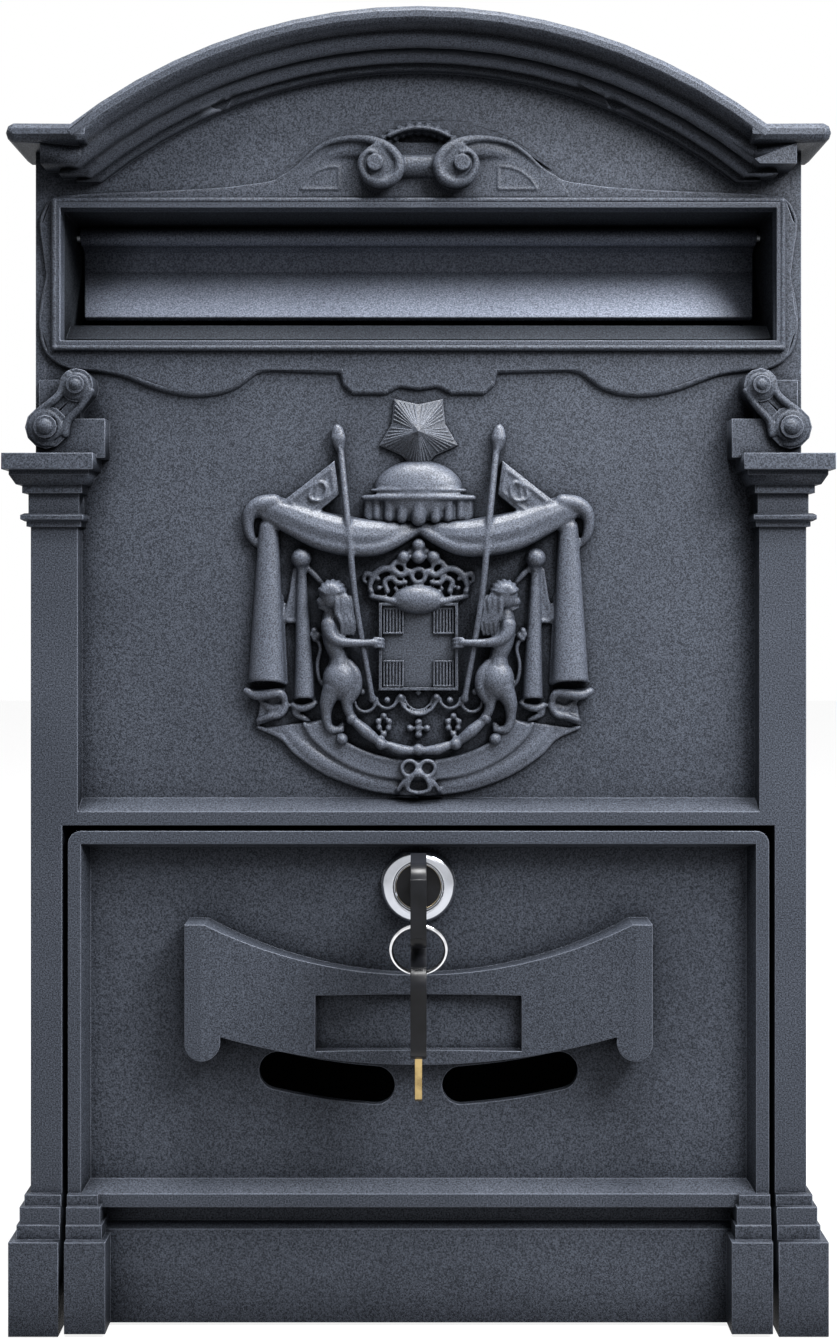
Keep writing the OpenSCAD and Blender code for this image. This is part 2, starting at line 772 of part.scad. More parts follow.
module front_casting() {
  $fn = 10;
  color(black_coat)
    placed()
      difference() {
        union() {
          difference() {
            union() {
              front_plate();
              pair() shaft();
            }
            pair() shaft_pocket();
          }
          cornice();
          pair() {
            capital();
            console();
            plinth();
            for (b = boss_places) stud(b[0], b[1], boss_r, -casing_front, shaft_rise - 2);
          }
          rail();
          apron();
          scroll_ornament();
          crest();
        }
        pair() {
          for (b = boss_places) stud(b[0], b[1], screw_r + fit_clear, -casing_front - 1, -0.6);
          for (z = liner_screw_z) stud(liner_screw_x, z, screw_r + fit_clear, -cast_t - 1, -0.3);
          stud(bracket_screw_x, bracket_screw_z, screw_r + fit_clear, -cast_t - 1, 2);
        }
      }
}

// Folded casing: sides, arched roof, floor and the turned-in front flange that stops the door
module housing_shell() {
  inset = half_w - casing_half;
  depth = field_depth - casing_front;
  floor_front = pin_back + 8.5;
  color(inner_sheet)
    placed()
      difference() {
        union() {
          slab(-field_depth, -casing_front) case_ring(0, sheet_t);
          slab(-casing_front - sheet_t, -casing_front) case_ring(0, flange_w);
        }
        block(-casing_half + sheet_t, -1, casing_half - sheet_t, 26, -casing_front - sheet_t - 1, -casing_front + 1);
        block(-half_w, -1, half_w, sheet_t + 2, -floor_front, 0);
        block(-slot_half - liner_t - 0.8, slot_bottom - liner_flange - 3, slot_half + liner_t + 0.8,
          slot_top + liner_flange + 3, -casing_front - sheet_t - 1, 0);
        pair() {
          for (b = boss_places) stud(b[0], b[1], screw_r + fit_clear, -casing_front - sheet_t - 1, 0);
          for (z = rivet_z) side_hole(z);
        }
      }
}

// Outline of the casing: a band between two insets from its outer face
module case_outline(inset) {
  half = casing_half - inset;
  lift = half_w - casing_half;
  rect(-half, inset, half, shoulder_z - lift - inset);
  intersection() {
    translate([0, roof_cz]) circle(body_r - lift - inset, $fn = 180);
    rect(-half, shoulder_z - 40, half, total_h);
  }
}

module case_ring(from, to) {
  difference() {
    case_outline(from);
    case_outline(to);
  }
}

rivet_high = shoulder_z - rivet_drop;
rivet_z = [rivet_low, (rivet_low + rivet_high) / 2, rivet_high];
rivet_y = -(back_edge + sheet_t) / 2;

module side_hole(z) {
  reach = 5 * sheet_t;
  translate([casing_half - reach, rivet_y, z])
    rotate([0, 90, 0]) cylinder(h = 2 * reach, r = rivet_r + fit_clear);
}

// Back sheet with edges turned forwards inside the casing
module back_plate() {
  gap = sheet_t + 0.1;
  color(inner_sheet)
    placed()
      difference() {
        union() {
          wall_slab(0, sheet_t) case_outline(gap);
          wall_slab(0, back_edge) case_ring(gap, gap + sheet_t);
        }
        pair() {
          for (dz = [-0.5, 0.5])
            translate([wall_hole_x / 2, 1, wall_hole_z + dz * wall_hole_h])
              rotate([90, 0, 0]) cylinder(h = sheet_t + 2, r = wall_hole_r);
          for (z = rivet_z) side_hole(z);
        }
      }
}

// A front view raised from the wall
module wall_slab(low, high) {
  translate([0, -low, 0]) rotate([90, 0, 0]) linear_extrude(high - low) children();
}

module back_rivets() {
  grip = 2 * sheet_t + 0.1;
  rivet_head = sheet_t - 0.2;
  color(zinc)
    placed()
      pair()
        for (z = rivet_z)
          translate([casing_half, rivet_y, z]) {
            rotate([0, 90, 0]) cylinder(h = rivet_head, r1 = rivet_r + 1.2, r2 = rivet_r + 0.2);
            translate([-grip, 0, 0]) rotate([0, 90, 0]) cylinder(h = grip, r = rivet_r);
            translate([-grip - rivet_head, 0, 0])
              rotate([0, 90, 0]) cylinder(h = rivet_head, r1 = rivet_r + 0.2, r2 = rivet_r + 1);
          }
}

// A screw driven towards the viewer, with its head's face at a height above the field
module screw(x, z, seat, length) {
  stud(x, z, screw_r, seat - join, seat + length);
  stud(x, z, head_r, seat - head_t, seat);
}

module case_screws() {
  color(zinc)
    placed()
      pair()
        for (b = boss_places) screw(b[0], b[1], -casing_front - sheet_t, sheet_t + screw_bite);
}

// Recess behind the slot frame: a duct with a sill that sheds rain and a flange for its screws
module slot_liner() {
  outer_x = slot_half + liner_t;
  front = -cast_t;
  back = -liner_depth;
  flange_x = half_w - cast_t - 0.5;
  color(black_coat)
    placed()
      difference() {
        union() {
          block(-flange_x, slot_bottom - liner_flange, flange_x, slot_top + liner_flange, front - liner_t, front);
          block(-outer_x, slot_top, outer_x, slot_top + liner_t, back, front);
          pair() block(slot_half, slot_bottom - liner_t, outer_x, slot_top + liner_t, back, front);
          along_x(-outer_x, outer_x) polygon([
            [front, slot_bottom - liner_t], [front, slot_bottom],
            [-12, slot_bottom + sill_rise], [-14, slot_bottom + sill_rise],
            [-14, slot_bottom + sill_rise - liner_t]
          ]);
        }
        block(-slot_half, slot_bottom + join, slot_half, slot_top, front - liner_t - 1, front + 1);
        pair() {
          for (z = liner_screw_z) stud(liner_screw_x, z, screw_r + fit_clear, front - liner_t - 1, front + 1);
          translate([slot_half - 1, -field_depth + rod_back, rod_z])
            rotate([0, 90, 0]) cylinder(h = 4, r = rod_r + fit_clear);
        }
      }
}

// A side view in heights above the field and z, drawn out along x
module along_x(x0, x1) {
  translate([x1, -field_depth, 0])
    rotate([90, 0, -90])
      linear_extrude(x1 - x0)
        children();
}

module liner_screws() {
  color(zinc)
    placed()
      pair()
        for (z = liner_screw_z) screw(liner_screw_x, z, -cast_t - liner_t, liner_t + 2.4);
}

module letter_flap() {
  half = slot_half - flap_gap;
  knuckle_r = rod_r + 1.5;
  y0 = -rod_back - flap_set;
  kink_z = rod_z - flap_drop;
  lip_z = kink_z - lip_h;
  color(black_coat)
    placed()
      difference() {
        union() {
          along_x(-half, half) translate([-rod_back, rod_z]) circle(knuckle_r);
          along_x(-half, half)
            polygon([
              [-rod_back - 2, rod_z - 1.2], [-rod_back - 0.4, rod_z - 2.4], [y0 + flap_t, rod_z - 4.4],
              [y0 + flap_t, kink_z], [y0 + lip_out + flap_t * 0.6, lip_z], [y0 + lip_out - flap_t * 0.6, lip_z - 1],
              [y0, kink_z - 0.8], [y0, rod_z - 3.6]
            ]);
        }
        along_x(-half - 1, half + 1) translate([-rod_back, rod_z]) circle(rod_r + hinge_clear);
        pair()
          slab(-rod_back - 6, 5)
            polygon([[half, kink_z], [half + 2, kink_z], [half + 2, lip_z - 2], [half - 3, lip_z - 2]]);
      }
}

module flap_rod() {
  reach = slot_half + liner_t;
  color(zinc)
    placed()
      translate([0, -field_depth + rod_back, rod_z]) {
        translate([-reach - 0.1, 0, 0]) rotate([0, 90, 0]) cylinder(h = 2 * reach + 0.2, r = rod_r);
        pair() translate([reach + 0.1, 0, 0]) rotate([0, 90, 0]) cylinder(h = 0.9, r = rod_r + 0.8);
      }
}

// Outline of the door from the front
module door_outline(inset) {
  half = door_half - inset;
  r = max(door_corner - inset, 0.6);
  rect(-half, door_lift, half, door_top - inset - r);
  rect(-half + r, door_lift, half - r, door_top - inset);
  for (s = [-1, 1]) translate([s * (half - r), door_top - inset - r]) circle(r);
}

// Side view of the door's middle: base panel, recessed band, moulding, field and top rim
module door_profile() {
  base_top = plinth_h + 1.1;
  band_top = plinth_h + 7;
  mould_low = plinth_h + 8.8;
  mould_top = plinth_h + 12.9;
  field_top = door_top - door_rim - 1.6;
  polygon([
    [base_rise, door_lift], [base_rise, base_top], [1, base_top + 1.6], [1, band_top],
    [shaft_rise, mould_low], [shaft_rise, mould_top], [0, mould_top + 2.5], [0, field_top],
    [shaft_rise, field_top + 1.6], [shaft_rise, door_top], [-skirt_depth, door_top],
    [-skirt_depth, door_top - door_t], [-door_t, door_top - door_t], [-door_t, base_top + 1],
    [base_rise - door_t, base_top - 1], [base_rise - door_t, door_lift]
  ]);
}

// One side rim of the door with its bevel to the field
module door_side() {
  low = plinth_h + 6;
  block(door_half - door_rim, door_lift, door_half, door_top, -door_t, shaft_rise);
  block(door_half - door_t, door_lift, door_half, door_top, -skirt_depth, shaft_rise);
  translate([0, -field_depth, low])
    linear_extrude(door_top - low)
      polygon([
        [door_half - door_rim - 1.7, join], [door_half - door_rim, -shaft_rise],
        [door_half - door_rim + 1, -shaft_rise], [door_half - door_rim + 1, join]
      ]);
}

// The door's share of the stepped plinth, and the solid ear round its pin
module door_foot() {
  inner = door_half - foot_w;
  steps = [
    [door_lift, plinth_h, 0, plinth_rise],
    [plinth_h, plinth_h + 4.4, 1.5, plinth_rise - 2.2],
    [plinth_h + 4.4, plinth_h + 9.7, 2.1, plinth_rise - 2.8],
    [plinth_h + 9.7, plinth_h + 13.1, 3, plinth_rise - 4]
  ];
  difference() {
    for (s = steps) block(inner + s[2], s[0], door_half, s[1], -door_t, s[3]);
    block(inner + door_t, door_lift - 1, door_half - door_t, plinth_h - door_t, -door_t - 1, plinth_rise - door_t);
  }
}

module hinge_ear() {
  block(door_half - 7.5, pin_z - 5, door_half, pin_z + 5, -pin_back - 4, -door_t + join);
  block(door_half - 7.5, door_lift + 0.4, door_half, pin_z + 5, -door_t - join, plinth_rise - door_t + join);
}

// Middle heights of the plaque's upper and lower edges
plaque_top = lock_z - 27.2;
plaque_low = plaque_top - plaque_h;
top_arc = 136;
low_arc = 187;

// Front view of the plaque at its base or at its face
module plaque_shape() {
  half = plaque_w / 2;
  difference() {
    intersection() {
      rect(-half, plaque_low - 1, half, plaque_top + 17);
      translate([0, plaque_low + low_arc]) circle(low_arc, $fn = 180);
    }
    translate([0, plaque_top + top_arc]) circle(top_arc, $fn = 180);
  }
  for (s = [-1, 1]) {
    translate([s * (half - 5.4), plaque_low + 8.4]) circle(5.4);
    translate([s * (half - 5.4), plaque_low + 13.4]) square([10.8, 10], center = true);
  }
}

module plaque() {
  rise = plaque_end_t - plaque_mid_t;
  half = plaque_w / 2 - 5;
  hollow_r = (half * half + rise * rise) / (2 * rise);
  difference() {
    slab(-join, plaque_end_t) plaque_shape();
    translate([0, -field_depth - plaque_mid_t - hollow_r, plaque_low - 10])
      cylinder(h = 100, r = hollow_r, $fn = 180);
    block(-name_w / 2, plaque_mid_z - name_h / 2, name_w / 2, plaque_mid_z + name_h / 2, plaque_mid_t - 1.8, plaque_end_t);
  }
}

plaque_mid_z = plaque_low + 13.3;

// The two view slots follow the plaque's lower edge
view_arc = low_arc + 2 + view_h / 2;

module view_slot_shape() {
  a0 = asin((7.4 + view_h / 2) / view_arc);
  a1 = asin((50 - view_h / 2) / view_arc);
  centre_z = plaque_low + low_arc;
  translate([0, centre_z]) {
    intersection() {
      difference() {
        circle(view_arc + view_h / 2, $fn = 180);
        circle(view_arc - view_h / 2, $fn = 180);
      }
      polygon([[0, 0], 300 * [sin(a0), -cos(a0)], 300 * [sin(a1), -cos(a1)]]);
    }
    for (a = [a0, a1]) translate(view_arc * [sin(a), -cos(a)]) circle(view_h / 2);
  }
}

module door_casting() {
  color(black_coat)
    placed()
      difference() {
        union() {
          intersection() {
            along_x(-door_half, door_half) door_profile();
            slab(-skirt_depth - 1, plinth_rise) door_outline(0);
          }
          intersection() {
            pair() door_side();
            slab(-skirt_depth - 1, plinth_rise) door_outline(0);
          }
          pair() {
            door_foot();
            hinge_ear();
          }
          plaque();
        }
        pair() {
          slab(-door_t - 1, 1) view_slot_shape();
          translate([door_half - 9, -field_depth + pin_back, pin_z])
            rotate([0, 90, 0]) cylinder(h = 12, r = pin_r + hinge_clear);
        }
        slab(-door_t - 1, 1) barrel_shape(barrel_r + 0.1);
      }
}

// Round barrel with two flats that keep it from turning in the door
module barrel_shape(r) {
  translate([0, lock_z])
    intersection() {
      circle(r);
      square([2 * r - 2, 2 * r + 1], center = true);
    }
}

bracket_x = opening_half + 0.4;
bracket_screw_x = bracket_x + 3.4;
bracket_screw_z = pin_z + 13;

module door_bracket() {
  front = -cast_t;
  leg_back = -pin_back - 5.5;
  difference() {
    union() {
      block(bracket_x, 2, half_w - cast_t - 0.4, bracket_screw_z + 4.2, front - bracket_t, front);
      block(bracket_x, 2, bracket_x + bracket_t, pin_z + 6, leg_back, front);
    }
    stud(bracket_screw_x, bracket_screw_z, screw_r + fit_clear, front - bracket_t - 1, front + 1);
    translate([bracket_x - 1, -field_depth + pin_back, pin_z])
      rotate([0, 90, 0]) cylinder(h = bracket_t + 2, r = pin_r + 0.02);
  }
}

module door_pin() {
  tip_x = door_half - 7;
  translate([tip_x, -field_depth + pin_back, pin_z]) rotate([0, 90, 0]) {
    cylinder(h = bracket_x + bracket_t - tip_x, r = pin_r);
    translate([0, 0, bracket_x + bracket_t - tip_x]) cylinder(h = 1.4, r = pin_r + 1.2);
  }
}

module door_bracket_left() {
  color(zinc) placed() mirror([1, 0, 0]) door_bracket();
}

module door_bracket_right() {
  color(zinc) placed() door_bracket();
}

module door_pin_left() {
  color(zinc) placed() mirror([1, 0, 0]) door_pin();
}

module door_pin_right() {
  color(zinc) placed() door_pin();
}

module bracket_screws() {
  color(zinc) placed() pair() screw(bracket_screw_x, bracket_screw_z, -cast_t - bracket_t, bracket_t + 4.4);
}

// The lock's axis as a line towards the viewer
module on_lock_axis(height) {
  translate([0, -field_depth - height, lock_z]) rotate([90, 0, 0]) children();
}

bezel_t = 3;

module lock_body() {
  color(chrome)
    placed()
      difference() {
        union() {
          intersection() {
            on_lock_axis(0)
              rotate_extrude()
                polygon([[0, 0], [bezel_r, 0], [bezel_r, 1], [bezel_r - 1.6, 2.4], [bezel_r - 3, bezel_t], [0, bezel_t]]);
            block(-20, lock_z - 20, 20, lock_z + bezel_r * 0.9, -1, 5);
          }
          slab(-barrel_len, join) barrel_shape(barrel_r);
        }
        on_lock_axis(-barrel_len - 1) cylinder(h = barrel_len + 6, r = plug_r + hinge_clear);
      }
}

module lock_nut() {
  color(zinc)
    placed()
      difference() {
        on_lock_axis(-door_t - 3.5) cylinder(h = 3.5, r = barrel_r + 4, $fn = 6);
        on_lock_axis(-door_t - 5) cylinder(h = 7, r = barrel_r + 0.05);
      }
}

tang_w = 7;
cam_low = -barrel_len - 0.3 - cam_t;

module lock_plug() {
  keyway_w = blade_t + 0.3;
  keyway_h = blade_w + 0.4;
  color(bow_black)
    placed()
      difference() {
        union() {
          on_lock_axis(-barrel_len - 0.1) cylinder(h = barrel_len + 0.1 + bezel_t - 0.9, r = plug_r);
          block(-tang_w / 2, lock_z - tang_w / 2, tang_w / 2, lock_z + tang_w / 2, cam_low, -barrel_len);
        }
        block(-keyway_w / 2, lock_z - keyway_h / 2, keyway_w / 2, lock_z + keyway_h / 2, -8.6, bezel_t + 1);
        on_lock_axis(cam_low - 1) cylinder(h = 6, r = screw_r + 0.6 + fit_clear);
      }
}

// Cam that swings up behind the rail's rib; shown lying sideways, unlocked
module lock_cam() {
  w = 13;
  color(zinc)
    placed()
      difference() {
        slab(cam_low, cam_low + cam_t)
          translate([0, lock_z]) {
            circle(w / 2 + 1);
            translate([0, -w / 2]) square([cam_len - 3, w]);
            translate([cam_len - 5, 0]) square([10, w - 4], center = true);
            for (s = [-1, 1]) translate([cam_len - 3, s * (w / 2 - 3)]) circle(3);
          }
        block(-tang_w / 2 - fit_clear, lock_z - tang_w / 2 - fit_clear, tang_w / 2 + fit_clear,
          lock_z + tang_w / 2 + fit_clear, cam_low - 1, -barrel_len + 1);
      }
}

module cam_washer() {
  color(zinc)
    placed()
      difference() {
        on_lock_axis(cam_low - 1) cylinder(h = 1, r = 6);
        on_lock_axis(cam_low - 2) cylinder(h = 3, r = screw_r + 0.6 + fit_clear);
      }
}

module cam_screw() {
  color(zinc)
    placed() {
      on_lock_axis(cam_low - 1.05) cylinder(h = 5.4, r = screw_r + 0.6);
      on_lock_axis(cam_low - 3.2) cylinder(h = 2.2, r = 4);
    }
}

// Key parts are drawn with the blade's shoulder at the origin: the bow lies towards -y
slot_l = 15;
slot_t = 4.6;
bow_margin = 4.4;
tail_l = 7;

module bow_shape() {
  corner = 6;
  half = bow_w / 2;
  neck = 8.5;
  union() {
    translate([corner, -half]) square([bow_l - 2 * corner, bow_w]);
    translate([0, -neck]) square([bow_l, 2 * neck]);
    translate([2, -half + corner]) square([bow_l - 2, bow_w - 2 * corner]);
    for (s = [-1, 1]) {
      translate([corner, s * (half - corner)]) circle(corner);
      translate([bow_l - corner, s * (half - corner)]) circle(corner);
    }
  }
}

module bow() {
  hole_x = bow_l - bow_margin - slot_t / 2;
  rotate([0, 0, -90])
    rotate([90, 0, 0])
      translate([0, 0, -bow_t / 2])
        difference() {
          linear_extrude(bow_t) bow_shape();
          translate([0, 0, -1])
            linear_extrude(bow_t + 2) {
              translate([hole_x, 0]) square([slot_t, slot_l - slot_t], center = true);
              for (s = [-1, 1]) translate([hole_x, s * (slot_l - slot_t) / 2]) circle(slot_t / 2);
            }
          translate([-1, -blade_w / 2 - 0.05, (bow_t - blade_t) / 2 - 0.05])
            cube([tail_l + 1.1, blade_w + 0.1, blade_t + 0.1]);
        }
}

module blade() {
  tip = 2.4;
  rotate([0, 0, -90])
    rotate([90, 0, 0])
      translate([0, 0, -blade_t / 2])
        linear_extrude(blade_t)
          polygon([
            [tail_l, -blade_w / 2], [tail_l, blade_w / 2], [-blade_l + tip, blade_w / 2],
            [-blade_l, 0.6], [-blade_l, -0.6], [-blade_l + tip, -blade_w / 2]
          ]);
}

// Height of the first bow's inner end above the field
bow_start = bezel_t + blade_out;
ring_hang = wire_r + 0.7;
loop_height = bow_start + bow_l - bow_margin - slot_t / 2;
loop_z = lock_z - slot_l / 2 + ring_hang;
spare_height = loop_height - 2 * ring_r * sin(ring_lean);
spare_z = loop_z - 2 * ring_r * cos(ring_lean);

module key_in_lock() {
  translate([0, -field_depth - bow_start, lock_z]) children();
}

// The spare key hangs with the inner side of its slot on the wire
module spare_place() {
  hole_y = -(bow_l - bow_margin - slot_t / 2);
  hang = slot_t / 2 - ring_hang;
  translate([0, -field_depth - spare_height, spare_z])
    rotate([-90 + spare_lean, 0, 0])
      translate([0, -hole_y + hang, 0])
        children();
}

module key_blade() {
  color(brass) placed() key_in_lock() blade();
}

module key_bow() {
  color(bow_black) placed() key_in_lock() bow();
}

module key_ring() {
  color(zinc)
    placed()
      translate([0, -field_depth - loop_height, loop_z])
        rotate([ring_lean, 0, 0])
          translate([0, 0, -ring_r])
            rotate([90, 0, 0])
              rotate_extrude() translate([ring_r, 0]) circle(wire_r);
}

module spare_key_blade() {
  color(brass) placed() spare_place() blade();
}

module spare_key_bow() {
  color(bow_black) placed() spare_place() bow();
}

front_casting();
housing_shell();
back_plate();
back_rivets();
case_screws();
slot_liner();
liner_screws();
letter_flap();
flap_rod();
door_casting();
door_bracket_left();
door_bracket_right();
door_pin_left();
door_pin_right();
bracket_screws();
lock_body();
lock_nut();
lock_plug();
lock_cam();
cam_washer();
cam_screw();
key_blade();
key_bow();
key_ring();
spare_key_blade();
spare_key_bow();
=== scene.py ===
"""Looks of an arched wall letter box with a cast heraldic front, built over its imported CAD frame."""

import logging
import math
from collections.abc import Sequence
from dataclasses import dataclass, field
from enum import Enum

import bmesh
import bpy
from mathutils import Matrix, Vector

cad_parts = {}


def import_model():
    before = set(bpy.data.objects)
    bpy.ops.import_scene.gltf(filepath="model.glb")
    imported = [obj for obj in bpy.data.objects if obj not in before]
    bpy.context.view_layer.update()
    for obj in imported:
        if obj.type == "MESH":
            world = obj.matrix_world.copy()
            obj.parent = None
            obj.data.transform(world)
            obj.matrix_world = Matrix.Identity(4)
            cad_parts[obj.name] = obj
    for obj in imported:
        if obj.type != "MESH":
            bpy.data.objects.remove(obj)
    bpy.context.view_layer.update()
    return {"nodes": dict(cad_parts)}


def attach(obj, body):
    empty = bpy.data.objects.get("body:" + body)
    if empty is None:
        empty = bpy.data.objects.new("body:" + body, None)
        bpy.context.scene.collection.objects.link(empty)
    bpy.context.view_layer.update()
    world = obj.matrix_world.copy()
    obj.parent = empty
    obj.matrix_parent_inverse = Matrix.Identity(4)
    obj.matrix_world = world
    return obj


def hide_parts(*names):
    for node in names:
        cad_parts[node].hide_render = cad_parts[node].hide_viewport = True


LOG = logging.getLogger("letter_box")

# In mm: from the wall to the plain field of the front, from the base to the middle of the wall holes, which
# is the frame's origin, and from the base to the middle of the shield.
FIELD_DEPTH = 79.0
HOLE_Z = 205.0
CREST_Z = 210.7

Spot = tuple[float, float, float]


class Side(Enum):
    """Which side of the box a mirrored piece stands on."""

    LEFT = -1
    RIGHT = 1


def spot(x: float, rise: float, z: float) -> Vector:
    """A point of the frame in metres.

    Args:
        x: Sideways place in mm.
        rise: Height above the plain field of the front in mm.
        z: Height above the base in mm.

    Returns:
        The point in metres.
    """
    return Vector((x, -(FIELD_DEPTH + rise), z - HOLE_Z)) / 1000


def on_crest(point: Spot) -> Vector:
    """A point of the relief, from x, height above the shield's centre and height above the field, in mm."""
    return spot(point[0], point[2], CREST_Z + point[1])


def linear(hex_colour: str) -> tuple[float, float, float, float]:
    """Turns an sRGB hex colour to linear values.

    Args:
        hex_colour: Colour such as #33363b.

    Returns:
        Linear red, green, blue and alpha.
    """
    parts = [int(hex_colour[i : i + 2], 16) / 255 for i in (1, 3, 5)]
    red, green, blue = (c / 12.92 if c <= 0.04045 else ((c + 0.055) / 1.055) ** 2.4 for c in parts)
    return red, green, blue, 1.0


# Materials


class Tree:
    """A node tree that is filled node by node."""

    def __init__(self, tree: bpy.types.NodeTree) -> None:
        """Takes over a tree."""
        self.tree = tree

    def add(self, kind: str, settings: dict | None = None, links: dict | None = None) -> bpy.types.Node:
        """Adds a node.

        Args:
            kind: Blender's name of the node type.
            settings: Properties, input values by socket name or number, or colour stops as (place, hex).
            links: Input socket to the output that feeds it.

        Returns:
            The new node.
        """
        node = self.tree.nodes.new(kind)
        for key, value in (settings or {}).items():
            if key == "stops":
                elements = node.color_ramp.elements
                while len(elements) < len(value):
                    elements.new(0.5)
                for element, (place, colour) in zip(elements, value):
                    element.position = place
                    element.color = linear(colour)
            elif isinstance(key, int) or not hasattr(node, key):
                node.inputs[key].default_value = value
            else:
                setattr(node, key, value)
        for key, output in (links or {}).items():
            self.tree.links.new(output, node.inputs[key])
        return node


class Nodes(Tree):
    """The node tree of one material, with its shader."""

    def __init__(self, name: str) -> None:
        """Starts a material that holds one principled shader."""
        self.material = bpy.data.materials.new(name)
        self.material.use_nodes = True
        super().__init__(self.material.node_tree)
        self.shader = self.tree.nodes["Principled BSDF"]

    def feed(self, socket: str, output: bpy.types.NodeSocket) -> None:
        """Links an output to the shader."""
        self.tree.links.new(output, self.shader.inputs[socket])


@dataclass(frozen=True)
class PowderCoat:
    """Baked powder coat over die-cast metal: dark, with a fine sandy grain that glints in specks, edges
    painted paler as wear and as a painted highlight, and painted shade that darkens its colour and sheen in
    recesses.
    """

    name: str
    base: str
    fleck: str
    # Paler colour mixed in at the edges: part wear of the coat, part painted highlight.
    edge: str
    roughness: float = 0.5
    grain_mm: float = 0.5
    grain_depth_mm: float = 0.09
    edge_mm: float = 0.5
    gloss: float = 0.14
    # Reach of the painted shade that darkens colour and sheen in recesses.
    painted_shade_reach_mm: float = 22.0

    def material(self) -> bpy.types.Material:
        """Builds the material, with its grain a little coarser than the real 0.3 mm so that it shows."""
        nodes = Nodes(self.name)
        coords = nodes.add("ShaderNodeTexCoord")
        grain = nodes.add(
            "ShaderNodeTexNoise",
            {"Scale": 1000 / self.grain_mm, "Detail": 2.0, "Roughness": 0.6},
            {"Vector": coords.outputs["Object"]},
        )
        cloud = nodes.add("ShaderNodeTexNoise", {"Scale": 28.0, "Detail": 3.0},
                          {"Vector": coords.outputs["Object"]})
        rounded = nodes.add("ShaderNodeBevel", {"samples": 4, "Radius": self.edge_mm / 1000})
        geometry = nodes.add("ShaderNodeNewGeometry")
        turn = nodes.add(
            "ShaderNodeVectorMath",
            {"operation": "DOT_PRODUCT"},
            {0: rounded.outputs["Normal"], 1: geometry.outputs["Normal"]},
        )
        # Painted highlight and wear: where the bevel normal turns from the face, the colour goes towards the
        # paler edge colour.
        edge_wear_and_highlight = nodes.add(
            "ShaderNodeMapRange",
            {"From Min": 0.995, "From Max": 0.8, "To Min": 0.0, "To Max": 0.75},
            {"Value": turn.outputs["Value"]},
        )
        speck = nodes.add(
            "ShaderNodeValToRGB", {"stops": [(0.36, self.base), (0.66, self.fleck)]},
            {"Fac": grain.outputs["Fac"]}
        )
        patch = nodes.add(
            "ShaderNodeValToRGB", {"stops": [(0.35, "#b4b6ba"), (0.65, "#ffffff")]},
            {"Fac": cloud.outputs["Fac"]}
        )
        shade = nodes.add(
            "ShaderNodeMix",
            {"data_type": "RGBA", "blend_type": "MULTIPLY", 0: 0.3},
            {6: speck.outputs["Color"], 7: patch.outputs["Color"]},
        )
        colour = nodes.add(
            "ShaderNodeMix",
            {"data_type": "RGBA", 7: linear(self.edge)},
            {0: edge_wear_and_highlight.outputs["Result"], 6: shade.outputs[2]},
        )
        rough = nodes.add(
            "ShaderNodeMapRange",
            {"From Min": 0.3, "From Max": 0.7, "To Min": self.roughness + 0.1,
             "To Max": self.roughness - 0.08},
            {"Value": grain.outputs["Fac"]},
        )
        bump = nodes.add(
            "ShaderNodeBump",
            {"Strength": 0.7, "Distance": self.grain_depth_mm / 1000},
            {"Height": grain.outputs["Fac"], "Normal": rounded.outputs["Normal"]},
        )
        # Painted shade: ambient occlusion darkens the colour and dims the sheen in recesses, crevices and
        # under overhangs.
        occlusion_for_painted_shade = nodes.add("ShaderNodeAmbientOcclusion", {"samples": 4, "Distance": self.painted_shade_reach_mm / 1000})
        painted_recess_shade = nodes.add(
            "ShaderNodeMapRange",
            {"From Min": 0.4, "From Max": 0.86, "To Min": 0.15, "To Max": 1.0},
            {"Value": occlusion_for_painted_shade.outputs["AO"]},
        )
        shaded = nodes.add(
            "ShaderNodeMix",
            {"data_type": "RGBA", "blend_type": "MULTIPLY", 0: 1.0},
            {6: colour.outputs[2], 7: painted_recess_shade.outputs["Result"]},
        )
        gloss = nodes.add("ShaderNodeMath", {"operation": "MULTIPLY", 1: self.gloss},
                          {0: painted_recess_shade.outputs["Result"]})
        nodes.feed("Specular IOR Level", gloss.outputs["Value"])
        nodes.feed("Base Color", shaded.outputs[2])
        nodes.feed("Roughness", rough.outputs["Result"])
        nodes.feed("Normal", bump.outputs["Normal"])
        return nodes.material


